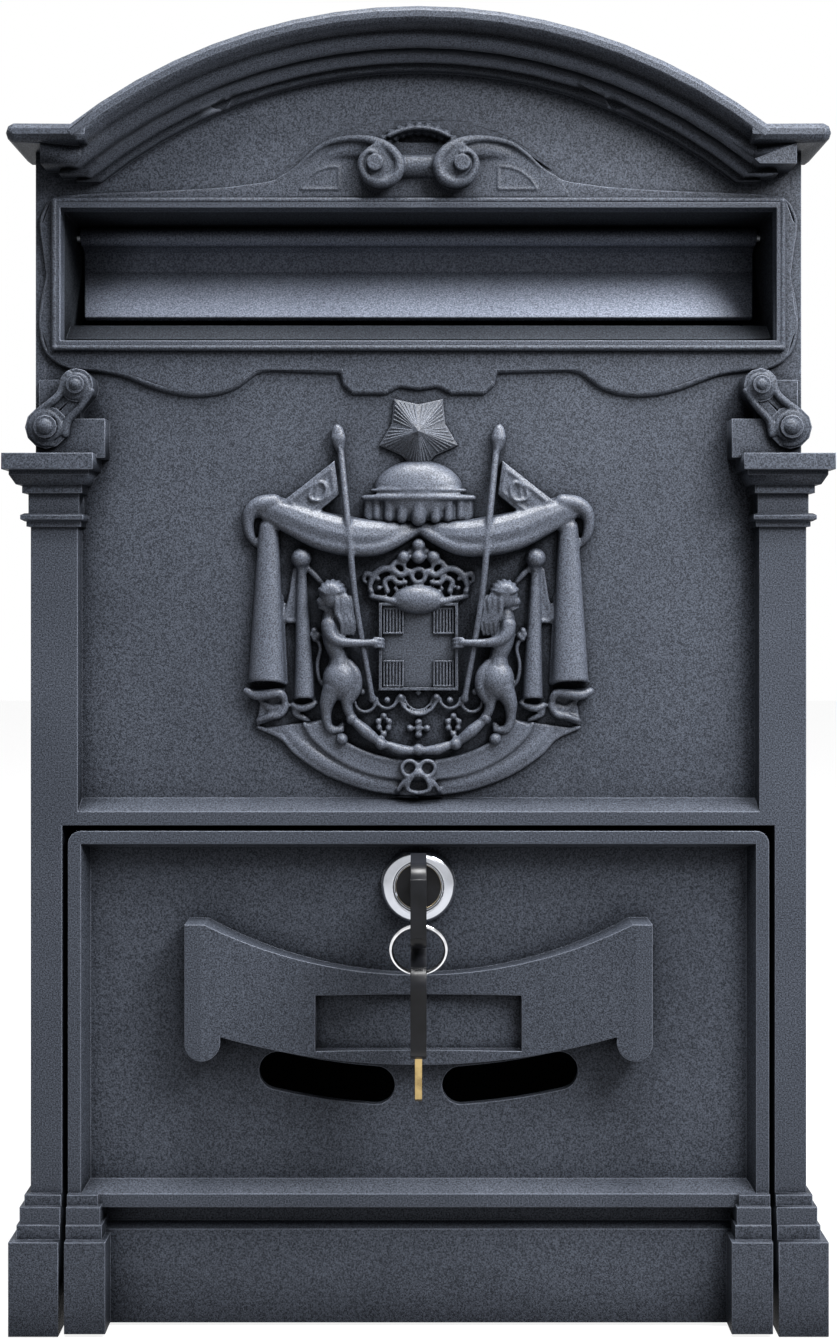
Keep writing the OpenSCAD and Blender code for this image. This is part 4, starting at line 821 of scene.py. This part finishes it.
    def hem(self) -> Form:
        """Builds the left half of the gathered hem and the knot on it."""
        form = Form()
        outer = [(-50.3, -25.5), (-42.9, -28.8), (-37.8, -34), (-28.3, -40.2), (-16.5, -44.6), (-6.2, -46.2),
                 (0.4, -46.5)]
        inner = [(-35.6, -24.4), (-32.7, -28.8), (-26.8, -34), (-19.5, -38), (-10.6, -40.6), (0.4, -41.4)]
        ledge = [(-30, -22.6), (-27.4, -26.4), (-22, -30.6), (-14.6, -33.8), (-7, -35.6), (0.4, -36)]
        self.sheet(form, outer + ledge[::-1], 1.3, 3)
        self.sheet(form, inner + ledge[::-1], 2.4, 4)
        self.run(form, [(u, v + 0.6, 0.8) for u, v in outer], [0.7, 0.9, 0.9, 0.9, 0.9, 0.9, 0.9])
        self.run(form, [(u, v + 0.5, 1.7) for u, v in inner], [0.8, 0.9, 0.9, 0.9, 0.9, 0.9])
        self.run(form, [(u, v, 1.9) for u, v in ledge], [0.6, 0.9, 1, 1, 1, 1], 0.9)
        self.run(form, [(-41, -26.6, 0.8), (-36, -31.4, 1), (-28.6, -36.8, 1.1), (-19, -41, 1.1),
                        (-8, -43.6, 1)],
                 [1.6, 2.2, 2.4, 2.4, 1.8], 0.45)
        self.knot(form)
        return form

    def knot(self, form: Form) -> None:
        """Adds the cord knot at the lowest point of the hem."""
        form.ring(on_crest((-2.8, -37.6, 3.6)), 2.4, 0.75)
        self.run(form, [(-0.6, -38.4, 4.2), (-2.8, -41.4, 4), (-3.4, -44.2, 3.6), (-0.6, -45.2, 3.4),
                        (0.3, -45.2, 3.4)], [0.75] * 5, 1, 0.5)
        self.run(form, [(-1.4, -40, 3.4), (-4.2, -41.4, 3.4), (-6.4, -44.6, 2.6)], [0.75, 0.75, 0.85], 1, 0.5)
        self.knob(form, (0, -39.4, 4.2), 1.15)

    def star(self) -> Form:
        """Builds the five-pointed star with its raised centre and fine rays."""
        form = Form()
        corners = []
        for i in range(10):
            angle = math.radians(36 * i + 180)
            reach = self.star_r if i % 2 == 0 else self.star_notch_r
            corners.append((reach * math.sin(angle), self.star_v + reach * math.cos(angle)))
        front = form.plate([on_crest((u, v, 1.2)) for u, v in corners], 2.4)
        face = next(f for f in form.bm.faces if set(f.verts) == set(front))
        peak = bmesh.ops.poke(form.bm, faces=[face])["verts"]
        bmesh.ops.translate(form.bm, verts=peak, vec=(0, -self.star_peak / 1000, 0))
        for i in range(10):
            a, b = corners[i], corners[(i + 1) % 10]
            for k in range(1, 5):
                share = k / 5
                u, v = a[0] + (b[0] - a[0]) * share, a[1] + (b[1] - a[1]) * share
                start = on_crest((u * 0.94, self.star_v + (v - self.star_v) * 0.94, 1.4))
                end = on_crest((u * 0.2, self.star_v + (v - self.star_v) * 0.2, 4.75))
                form.limb(start, end, 0.34, 0.16, 6)
        return form

    def shield(self) -> Form:
        """Builds the square shield: a stepped border and a plain cross between ribbed quarters."""
        form = Form()
        half, top, foot = self.shield_half, self.shield_top, self.shield_foot
        inner = half - self.shield_border
        self.slab(form, (-half, foot, -0.5), (half, top, 1.5))
        for low_v, high_v in [(foot, foot + 0.75), (top - 0.75, top)]:
            self.slab(form, (-inner, low_v, 1.4), (inner, high_v, 3.2))
        for side in Side:
            self.slab(form, (side.value * inner, foot, 1.4), (side.value * half, top, 3.2))
            for low_v, high_v in [(-12, -4.3), (4.5, 12.2)]:
                for k in range(7):
                    u = side.value * (4.9 + 0.98 * k)
                    self.slab(form, (u - 0.24, low_v, 1.4), (u + 0.24, high_v, 2.3))
                for v in (low_v, high_v):
                    self.slab(form, (side.value * 4.66, v - 0.25, 1.4), (side.value * 11, v + 0.25, 2.4))
        bmesh.ops.create_cone(
            form.bm, cap_ends=True, segments=4, radius1=0.0022, radius2=0.0008, depth=0.003,
            matrix=Matrix.Translation(on_crest((0, -14, 1))) @ Matrix.Rotation(math.pi / 2, 4, "X"),
        )
        return form

    def build(self, coat: bpy.types.Material, fine: bpy.types.Material) -> None:
        """Builds and dresses every part of the relief.

        Args:
            coat: Finish of the rounded forms, painted paler than the casting as painted light.
            fine: Finish of the crisp forms, whose edges are less rounded.
        """
        for name, make, skin, rounds in (
            ("crest_mantle", self.mantle, 0.38, 2), ("crest_arms", self.arms, 0.36, 2),
            ("crest_lions", self.lion, 0.27, 2), ("crest_hem", self.hem, 0.4, 3),
        ):
            form = make()
            form.mirror()
            skinned = fused(form, name, skin, rounds, self.cut_rise)
            self.pieces.append(skinned.finish(name, coat, "box", "cast_black", 80))
        self.pieces.append(self.star().finish("crest_star", fine, "box", "cast_black", 20))
        self.pieces.append(self.shield().finish("crest_shield", fine, "box", "cast_black", 30))


@dataclass
class FrontBody:
    """Cast front of the box, freed of the plain forms that the carved pieces stand for."""

    # Zones that are cleared, by side distance, height and least rise.
    clear_zones: tuple[tuple[float, float, float, float, float], ...] = ((0, 164, 62, 290, 0.12),
                                                                         (0, 352.5, 46, 378, 1.45))
    backing: tuple[float, float, float] = (105.7, 158.0, 300.0)
    patch: tuple[tuple[float, float], ...] = ((-44, 353), (44, 353), (44.5, 358.5), (36, 366), (26, 372),
                                              (12, 376), (-12, 376), (-26, 372), (-36, 366), (-44.5, 358.5))
    flat_area_mm2: float = 250.0
    boss_rise: float = 4.5
    boss_sunk: float = 0.8
    skin_lift: float = 0.05
    skin_reach_deg: float = 37.5
    skin_steps: int = 100
    arch_z: float = 231.58
    # Each fillet's inner and outer radius, rise, foot height and fall of its outer edge.
    coves: tuple[tuple[float, float, float, float, float], ...] = (
        (165.72, 170.32, 10, 359.7, 3.4), (161.92, 165.72, 7, 357.4, 3.0), (159.32, 161.92, 3.6, 356.1, 2.2),
    )

    def hollow_coves(self, form: Form) -> None:
        """Leans the three fillets under the roof back at their upper edges and sinks the boss ends there.

        Args:
            form: The copy of the casting, whose fillets are flat.
        """
        for vert in form.bm.verts:
            x, height, z = vert.co.x * 1000, -vert.co.y * 1000 - FIELD_DEPTH, vert.co.z * 1000 + HOLE_Z
            radius = math.hypot(x, z - self.arch_z)
            if z < 356 or not 158.4 < radius < 172 or not -0.1 < height < 10.1:
                continue
            inner, outer, rise, foot_z, fall = next(
                (cove for cove in self.coves if abs(height - cove[2]) < 0.05), self.coves[2]
            )
            if radius < 159.3 and abs(x) < 75:
                vert.co.x *= inner / radius
                vert.co.z = (self.arch_z + (z - self.arch_z) * inner / radius - HOLE_Z) / 1000
            if abs(height - self.boss_rise) < 0.05:
                vert.co.y = -(FIELD_DEPTH + self.boss_sunk) / 1000
            elif height > 0.5 and abs(height - rise) < 0.05:
                share = 0 if abs(z - foot_z) < 0.1 else min(max((radius - inner) / (outer - inner), 0), 1)
                vert.co.y = -(FIELD_DEPTH + rise - fall * share) / 1000

    def lower_fillets(self, form: Form) -> None:
        """Lays a clean skin over the two lower fillets, from foot to foot.

        Args:
            form: The copy of the casting.
        """
        profile = []
        for inner, outer, rise, _, fall in self.coves[1:]:
            profile += [(outer - 0.04, rise - fall + self.skin_lift), (inner - 0.04, rise + self.skin_lift)]
        profile.append((profile[-1][0], -self.skin_lift))
        rows = []
        for step in range(self.skin_steps + 1):
            turn = math.radians(self.skin_reach_deg * (2 * step / self.skin_steps - 1))
            rows.append([
                form.bm.verts.new(spot(r * math.sin(turn), h, self.arch_z + r * math.cos(turn)))
                for r, h in profile
            ])
        for left, right in zip(rows, rows[1:]):
            for i in range(len(profile) - 1):
                form.bm.faces.new((left[i], left[i + 1], right[i + 1], right[i]))

    def build(self, source: bpy.types.Object, coat: bpy.types.Material) -> bpy.types.Object:
        """Builds the piece.

        Args:
            source: The CAD node of the casting.
            coat: Its finish.

        Returns:
            The dressed casting, which stands for the node.
        """
        form = Form()
        form.copy_of(source)
        carved = []
        for face in form.bm.faces:
            centre = face.calc_center_median() * 1000
            x, z = abs(centre.x), centre.z + HOLE_Z
            rise = max(-v.co.y for v in face.verts) * 1000 - FIELD_DEPTH
            if any(x0 <= x <= x1 and z0 <= z <= z1 and rise > least
                   for x0, z0, x1, z1, least in self.clear_zones):
                carved.append(face)
        bmesh.ops.delete(form.bm, geom=carved, context="FACES")
        self.hollow_coves(form)
        half, low, high = self.backing
        form.plate([spot(-half, 0.03, low), spot(half, 0.03, low), spot(half, 0.03, high),
                    spot(-half, 0.03, high)],
                   0.6)
        form.plate([spot(x, 0.02, z) for x, z in self.patch], 0)
        self.lower_fillets(form)
        piece = form.finish("front_body", coat, "box", "cast_black", 42)
        for face in piece.data.polygons:
            direction = max(abs(c) for c in face.normal)
            if abs(face.normal.y) > 0.9999 or (direction > 0.9999 and face.area > self.flat_area_mm2 * 1e-6):
                face.use_smooth = False
        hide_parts("front_casting")
        return piece


@dataclass
class Apron:
    """Low plate round the slot: its soft stepped edge and the beaded frame of the slot."""

    plate_rise: float = 1.42
    frame_half: float = 113.6
    frame_low: float = 304.2
    frame_top: float = 350.2
    bead_rise: float = 2.3
    bead_r: float = 0.95
    edge: tuple[tuple[float, float, float], ...] = (
        (42, 358.4, 0.6), (47.2, 355.6, 0.6), (64, 353.9, 0.55), (80.5, 353, 0.55), (105.4, 352, 0.55),
        (114.3, 350.5, 0.6),
        (117.2, 346.5, 0.6), (118, 342.7, 0.6), (117, 335, 0.6), (116, 327.4, 0.6), (117.4, 320, 0.6),
        (118.2, 313.3, 0.6),
        (117.4, 306, 0.65), (114.6, 301.5, 0.8), (108.9, 298.4, 1), (102.4, 298, 1.2), (93, 296.6, 1.3),
        (80, 292, 1.4), (68.9, 290.4, 1.4), (58.9, 292.2, 1.4), (51.4, 297.2, 1.35), (47, 298.4, 1.3),
    )
    notches: tuple[tuple[float, float], ...] = (
        (47, 298.4), (23.8, 297.6), (22.7, 293.3), (20.2, 291), (10.5, 291), (6.2, 293.2), (0, 292.3),
    )

    def build(self, coat: bpy.types.Material) -> bpy.types.Object:
        """Builds the rounded edge and the frame.

        Args:
            coat: Their finish.

        Returns:
            The piece.
        """
        form = Form()
        form.strand([spot(x, self.plate_rise - r, z) for x, z, r in self.edge], [r for _, _, r in self.edge],
                    1.0, 0.6)
        reach = self.edge[-1][2]
        for a, b in zip(self.notches, self.notches[1:]):
            form.limb(spot(a[0], self.plate_rise - reach, a[1]), spot(b[0], self.plate_rise - reach, b[1]),
                      reach, reach, 24)
            form.ball(spot(b[0], self.plate_rise - reach, b[1]), reach, detail=3)
        corners = [(-self.frame_half, self.frame_low), (self.frame_half, self.frame_low),
                   (self.frame_half, self.frame_top), (-self.frame_half, self.frame_top)]
        form.mirror()
        for (ax, az), (bx, bz) in zip(corners, corners[1:] + corners[:1]):
            form.limb(spot(ax, self.bead_rise, az), spot(bx, self.bead_rise, bz), self.bead_r, self.bead_r)
            form.ball(spot(ax, self.bead_rise, az), self.bead_r)
        form.trim_behind(0.0)
        return form.finish("slot_frame_bead", coat, "box", "cast_black", 60)


@dataclass
class ScrollOrnament:
    """Pair of volutes under a small hooded shell, with a leaf that swells out to each side above the slot."""

    disc: tuple[float, float] = (11.8, 360.5)
    disc_r: float = 6.8
    boss: tuple[float, float] = (13.5, 360.7)
    boss_r: float = 2.85
    roll: tuple[tuple[float, float, float, float], ...] = (
        (45, 0.9, 356.6, 0.5), (38.6, 1.1, 360.4, 0.6), (33.4, 1.4, 365.1, 0.75), (28.1, 1.8, 368.3, 0.9),
        (20.5, 2.7, 369.3, 1.2),
        (14, 4, 368.1, 1.6), (8.7, 5, 365.2, 1.8), (6, 5.4, 361, 1.8), (7.1, 5.4, 356.8, 1.75),
        (11.2, 5.4, 354.9, 1.7), (15.4, 5.4, 356, 1.6), (17.6, 5.5, 359.2, 1.4), (17.5, 5.8, 362.4, 1.1),
        (15.7, 6.1, 364.3, 0.8), (13.2, 6.3, 364.1, 0.5),
    )

    def leaf(self, form: Form) -> None:
        """Adds the swelling leaf, its rolled edge that winds into the volute, and its outlined window."""
        outline = [(-0.3, 351.3), (48, 351.3), (45, 356.4), (38.6, 360.2), (33.4, 364.8), (28.1, 368),
                   (20.5, 369.2), (14, 369), (-0.3, 368.6)]
        form.plate([spot(x, 1.44, z) for x, z in outline], 2.2)
        form.strand([spot(30, -0.4, 364), spot(23, 0.2, 366), spot(16, 1.2, 366), spot(11, 2.6, 364)],
                    [2.6, 3.4, 3.8, 3.6], 0.7)
        form.strand([spot(x, rise, z) for x, rise, z, _ in self.roll], [r for *_, r in self.roll], 1.0, 0.7)
        window = [(24.9, 361), (28.5, 360.8), (31.7, 359.7), (34.8, 357.4), (37.1, 354), (24.9, 354),
                  (24.9, 361)]
        for a, b in zip(window, window[1:]):
            form.limb(spot(a[0], 1.55, a[1]), spot(b[0], 1.55, b[1]), 0.3, 0.3, 8)

    def hood(self, form: Form) -> None:
        """Adds the hood of the shell with its raised rim, and the scalloped fan behind it."""
        for rise, wire in ((1.2, 1.1), (2.3, 1.0), (3.5, 0.9), (4.3, 0.75)):
            form.ring(spot(0, rise, 354.1), 18.2, wire, 62, 59)
        for i in range(9):
            angle = math.radians(90 + 10.4 * (i - 4))
            form.strand([spot(reach * math.cos(angle), rise, 357.4 + reach * math.sin(angle))
                         for reach, rise in ((16.4, 0.5), (14.6, 1.6))], [1.6, 1.5])

    def build(self, coat: bpy.types.Material) -> bpy.types.Object:
        """Builds the ornament.

        Args:
            coat: Its finish.

        Returns:
            The piece.
        """
        form = Form()
        self.leaf(form)
        form.limb(spot(self.disc[0], 0, self.disc[1]), spot(self.disc[0], 6.1, self.disc[1]), self.disc_r,
                  self.disc_r - 0.2, 64)
        form.limb(spot(self.boss[0], 3, self.boss[1]), spot(self.boss[0], 8, self.boss[1]), self.boss_r,
                  self.boss_r - 0.3, 48)
        form.limb(spot(-0.3, 1.3, 360.9), spot(7, 1.3, 360.9), 3.6, 3.9, 48)
        self.hood(form)
        form.mirror()
        skinned = fused(form, "scroll", 0.3, 2, -0.5)
        return skinned.finish("scroll_ornament", coat, "box", "cast_black", 80)


@dataclass
class Console:
    """Scrolled console that stands on each capital."""

    low: tuple[float, float] = (114.6, 278.7)
    high: tuple[float, float] = (105.4, 291.7)

    def build(self, coat: bpy.types.Material) -> bpy.types.Object:
        """Builds both consoles as one skin on each side.

        Args:
            coat: Their finish.

        Returns:
            The piece.
        """
        form = Form()
        for (x, z), reach, sign, start in ((self.low, 5.4, 1, 250), (self.high, 4.2, -1, 60)):
            path, radii = [], []
            for i in range(31):
                share = i / 30
                angle = math.radians(start) + sign * share * 1.6 * 2 * math.pi
                size = reach * (1 - 0.5 * share)
                path.append(spot(x + size * math.cos(angle), 8.2 + 1.2 * share, z + size * math.sin(angle)))
                radii.append(1.25 - 0.3 * share)
            form.strand(path, radii, 1.0, 1.0)
            form.ball(spot(x, 10.2, z), reach * 0.52, (1, 0.8, 1), 3)
        form.strand([spot(108.9, 8.4, 276.4), spot(108, 8.4, 281), spot(104.4, 8.4, 285),
                     spot(100.9, 8.4, 290)],
                    [1.3, 1.3, 1.2, 1.1])
        form.strand([spot(116.6, 8, 284), spot(113, 8.6, 286.4), spot(110.2, 8.6, 289.4),
                     spot(109.4, 8.4, 293.4)],
                    [1.3, 1.4, 1.3, 1.1])
        form.mirror()
        skinned = fused(form, "console", 0.35, 2, 7.0)
        return skinned.finish("console_scrolls", coat, "box", "cast_black", 80)


def rounded_copy(source: bpy.types.Object, name: str, body: str, slot: str, reach: float) -> bpy.types.Object:
    """Makes a copy of a CAD node with rounded edges and the node's own finish.

    Args:
        source: The CAD node, dressed.
        name: Name of the piece.
        body: The body that it rides on.
        slot: The record's material slot.
        reach: Width of the rounding in mm.

    Returns:
        The piece, which stands for the node.
    """
    form = Form()
    form.copy_of(source)
    bmesh.ops.dissolve_limit(form.bm, angle_limit=math.radians(1), verts=form.bm.verts, edges=form.bm.edges)
    edges = [e for e in form.bm.edges if len(e.link_faces) == 2 and e.calc_face_angle(0) > math.radians(35)]
    bmesh.ops.bevel(
        form.bm, geom=edges, offset=reach / 1000, offset_type="OFFSET", affect="EDGES", segments=3,
        profile=0.5,
        material=-1, clamp_overlap=True,
    )
    piece = form.finish(name, source.data.materials[0], body, slot, 35)
    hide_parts(source.name)
    return piece


@dataclass
class Keys:
    """The key in the lock and the spare key on its ring, with milled blades and rounded bows."""

    bow_round_mm: float = 0.9
    blade_round_mm: float = 0.2

    def build(self, nodes: dict[str, bpy.types.Object]) -> list[bpy.types.Object]:
        """Rounds both keys.

        Args:
            nodes: The frame's CAD nodes by name.

        Returns:
            The bows and blades.
        """
        pieces = []
        for part, name, slot, reach in (("bow", "grip", "bow_plastic", self.bow_round_mm),
                                        ("blade", "shank", "brass", self.blade_round_mm)):
            for key, body in (("key", "plug"), ("spare_key", "spare_key")):
                pieces.append(rounded_copy(nodes[f"{key}_{part}"], f"{key}_{name}", body, slot, reach))
        return pieces


@dataclass
class Flap:
    """Letter flap: a smooth coated sheet with a soft kink and a lip that stands forward."""

    round_mm: float = 0.45

    def build(self, source: bpy.types.Object) -> bpy.types.Object:
        """Rounds the flap's edges and returns it."""
        # The copy keeps the node's coat, which is painted paler as painted light on the lip.
        return rounded_copy(source, "flap_panel", "flap", "coat_front", self.round_mm)


@dataclass
class LockFace:
    """Polished bezel of the lock, domed with a flat on its upper side, and the plug's thin bright rim."""

    axis_z: float = 136.1
    flat_r: float = 10.53
    profile: tuple[tuple[float, float], ...] = (
        (11.73, 0.05), (11.73, 0.9), (11.55, 1.3), (11.1, 1.85), (10.5, 2.35), (9.8, 2.72), (9.1, 2.95),
        (8.4, 3.07), (7.8, 3.08), (7.52, 2.95), (7.47, 2.3),
    )
    rim_r: float = 7.15
    rim_rise: float = 2.25

    def bezel(self) -> Form:
        """Spins the bezel's domed face about the lock's axis.

        Returns:
            The open shell over the CAD bezel, cut flat on its upper side.
        """
        form = Form()
        verts = [form.bm.verts.new(spot(r, rise, self.axis_z)) for r, rise in self.profile]
        edges = [form.bm.edges.new(pair) for pair in zip(verts, verts[1:])]
        bmesh.ops.spin(
            form.bm, geom=verts + edges, cent=spot(0, 0, self.axis_z), axis=(0, 1, 0), angle=math.tau,
            steps=96,
            use_merge=True,
        )
        bmesh.ops.bisect_plane(
            form.bm, geom=form.everything(), plane_co=spot(0, 0, self.axis_z + self.flat_r),
            plane_no=(0, 0, 1),
            clear_outer=True,
        )
        return form

    def build(self, chrome: bpy.types.Material) -> list[bpy.types.Object]:
        """Builds the bezel and the plug's rim.

        Args:
            chrome: Their finish.

        Returns:
            Both pieces.
        """
        rim = Form()
        rim.ring(spot(0, self.rim_rise, self.axis_z), self.rim_r, 0.2)
        return [self.bezel().finish("lock_bezel", chrome, "door", "chrome", 50),
                rim.finish("plug_rim", chrome, "plug", "chrome", 60)]


class NodeFinish(Enum):
    """Which finish each CAD node that stays visible takes."""

    SHEET = ("housing_shell", "back_plate", "slot_liner")
    FLAP = ("letter_flap",)
    DOOR = ("door_casting",)
    ZINC = ("back_rivets", "case_screws", "liner_screws", "flap_rod", "door_bracket_left",
            "door_bracket_right", "door_pin_left", "door_pin_right", "bracket_screws", "lock_nut", "lock_cam",
            "cam_washer", "cam_screw")
    CHROME = ("lock_body",)
    PLUG = ("lock_plug",)
    WIRE = ("key_ring",)
    BRASS = ("key_blade", "spare_key_blade")
    BOW = ("key_bow", "spare_key_bow")


@dataclass(frozen=True)
class Lamp:
    """Square soft lamp, with its place, aim and side in metres and its power in watts."""

    name: str
    place: Spot
    aim: Spot
    side: float
    watts: float

    def hang(self) -> None:
        """Hangs the lamp in the scene, turned to its aim."""
        light = bpy.data.lights.new(self.name, "AREA")
        light.energy = self.watts
        light.size = self.side
        obj = bpy.data.objects.new(self.name, light)
        obj.location = self.place
        obj.rotation_euler = (Vector(self.aim) - Vector(self.place)).to_track_quat("-Z", "Y").to_euler()
        bpy.context.scene.collection.objects.link(obj)


@dataclass
class Studio:
    """Plain pale floor, white surroundings, soft lamps and the camera."""

    eye: Spot = (0.0, -0.579, 0.0205)
    lens: float = 42.84
    shift_y: float = -0.0522
    floor_half: float = 3.0
    floor_gap: float = 0.0004
    floor_glow: float = 0.86
    fill: float = 0.03
    lamps: tuple[Lamp, ...] = (
        Lamp("key_lamp", (0.38, -0.4, 0.46), (0.02, -0.08, 0.08), 0.28, 11),
        Lamp("top_lamp", (0.03, -0.3, 1.04), (0, -0.08, 0.0), 0.4, 38),
        Lamp("front_lamp", (0.15, -0.8, 0.42), (0, -0.08, 0.13), 0.3, 0.8),
    )

    def floor(self) -> None:
        """Lays the floor, white to the eye but still shaded by the box."""
        form = Form()
        level = Matrix.Translation((0, 0, -HOLE_Z / 1000 - self.floor_gap))
        bmesh.ops.create_grid(form.bm, x_segments=4, y_segments=4, size=self.floor_half, matrix=level)
        nodes = Nodes("pale_floor")
        nodes.shader.inputs["Base Color"].default_value = linear("#6f6f70")
        nodes.shader.inputs["Roughness"].default_value = 0.9
        rays = nodes.add("ShaderNodeLightPath")
        seen = nodes.add("ShaderNodeMath", {"operation": "MAXIMUM"},
                         {0: rays.outputs["Is Camera Ray"], 1: rays.outputs["Is Glossy Ray"]})
        strength = nodes.add("ShaderNodeMath", {"operation": "MULTIPLY", 1: self.floor_glow},
                             {0: seen.outputs["Value"]})
        nodes.shader.inputs["Emission Color"].default_value = (1, 1, 1, 1)
        nodes.feed("Emission Strength", strength.outputs["Value"])
        form.to_object("floor", nodes.material)

    def world(self) -> None:
        """Sets white surroundings for the eye and for reflections, and a soft grey light for the rest."""
        world = bpy.data.worlds.new("studio")
        bpy.context.scene.world = world
        world.use_nodes = True
        tree = Tree(world.node_tree)
        rays = tree.add("ShaderNodeLightPath")
        reflected = tree.add(
            "ShaderNodeMath",
            {"operation": "MAXIMUM"},
            {0: rays.outputs["Is Glossy Ray"], 1: rays.outputs["Is Transmission Ray"]},
        )
        seen = tree.add(
            "ShaderNodeMath",
            {"operation": "MAXIMUM"},
            {0: rays.outputs["Is Camera Ray"], 1: reflected.outputs["Value"]},
        )
        strength = tree.add(
            "ShaderNodeMapRange", {"To Min": self.fill, "To Max": 1.0}, {"Value": seen.outputs["Value"]}
        )
        back = tree.tree.nodes["Background"]
        back.inputs["Color"].default_value = (1, 1, 1, 1)
        tree.tree.links.new(strength.outputs["Result"], back.inputs["Strength"])

    def camera(self) -> None:
        """Places the camera, level, with a small fall of the lens."""
        data = bpy.data.cameras.new("camera")
        data.lens = self.lens
        data.sensor_width = 36
        data.shift_y = self.shift_y
        data.clip_start = 0.01
        obj = bpy.data.objects.new("camera", data)
        obj.location = self.eye
        obj.rotation_euler = (math.pi / 2, 0, 0)
        bpy.context.scene.collection.objects.link(obj)
        bpy.context.scene.camera = obj

    def build(self) -> None:
        """Sets up the whole studio."""
        self.floor()
        self.world()
        for lamp in self.lamps:
            lamp.hang()
        self.camera()


def dress_nodes(nodes: dict[str, bpy.types.Object], coat: bpy.types.Material) -> None:
    """Gives every CAD node but the front casting its finish.

    Args:
        nodes: The frame's CAD nodes by name.
        coat: Finish of the castings.
    """
    finishes = {
        NodeFinish.SHEET: SHEET_COAT, NodeFinish.FLAP: FLAP_COAT_PAINTED_PALER, NodeFinish.ZINC: ZINC,
        NodeFinish.CHROME: CHROME, NodeFinish.PLUG: PLUG_BLACK, NodeFinish.WIRE: RING_WIRE,
        NodeFinish.BRASS: BRASS, NodeFinish.BOW: BOW_BLACK,
    }
    for group in NodeFinish:
        material = finishes[group].material() if group in finishes else coat
        for name in group.value:
            data = nodes[name].data
            data.materials.clear()
            data.materials.append(material)


def main() -> None:
    """Builds the box in order and reports each piece."""
    logging.basicConfig(level=logging.INFO, format="%(message)s")
    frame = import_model()
    bpy.context.scene.view_settings.view_transform = "Standard"
    nodes = frame["nodes"]
    coat = CAST_COAT.material()
    dress_nodes(nodes, coat)
    LOG.info("front body %s", FrontBody().build(nodes["front_casting"], coat).name)
    crest = Crest()
    crest.build(RELIEF_COAT_PAINTED_PALER.material(), CRISP_COAT.material())
    LOG.info("crest %s", [f"{piece.name} {len(piece.data.polygons)}" for piece in crest.pieces])
    LOG.info("apron %s", Apron().build(coat).name)
    LOG.info("scroll %s", ScrollOrnament().build(coat).name)
    LOG.info("console %s", Console().build(coat).name)
    LOG.info("flap %s", Flap().build(nodes["letter_flap"]).name)
    LOG.info("keys %s", [piece.name for piece in Keys().build(nodes)])
    LOG.info("lock %s", [piece.name for piece in LockFace().build(nodes["lock_body"].data.materials[0])])
    Studio().build()


if __name__ == "__main__":
    main()
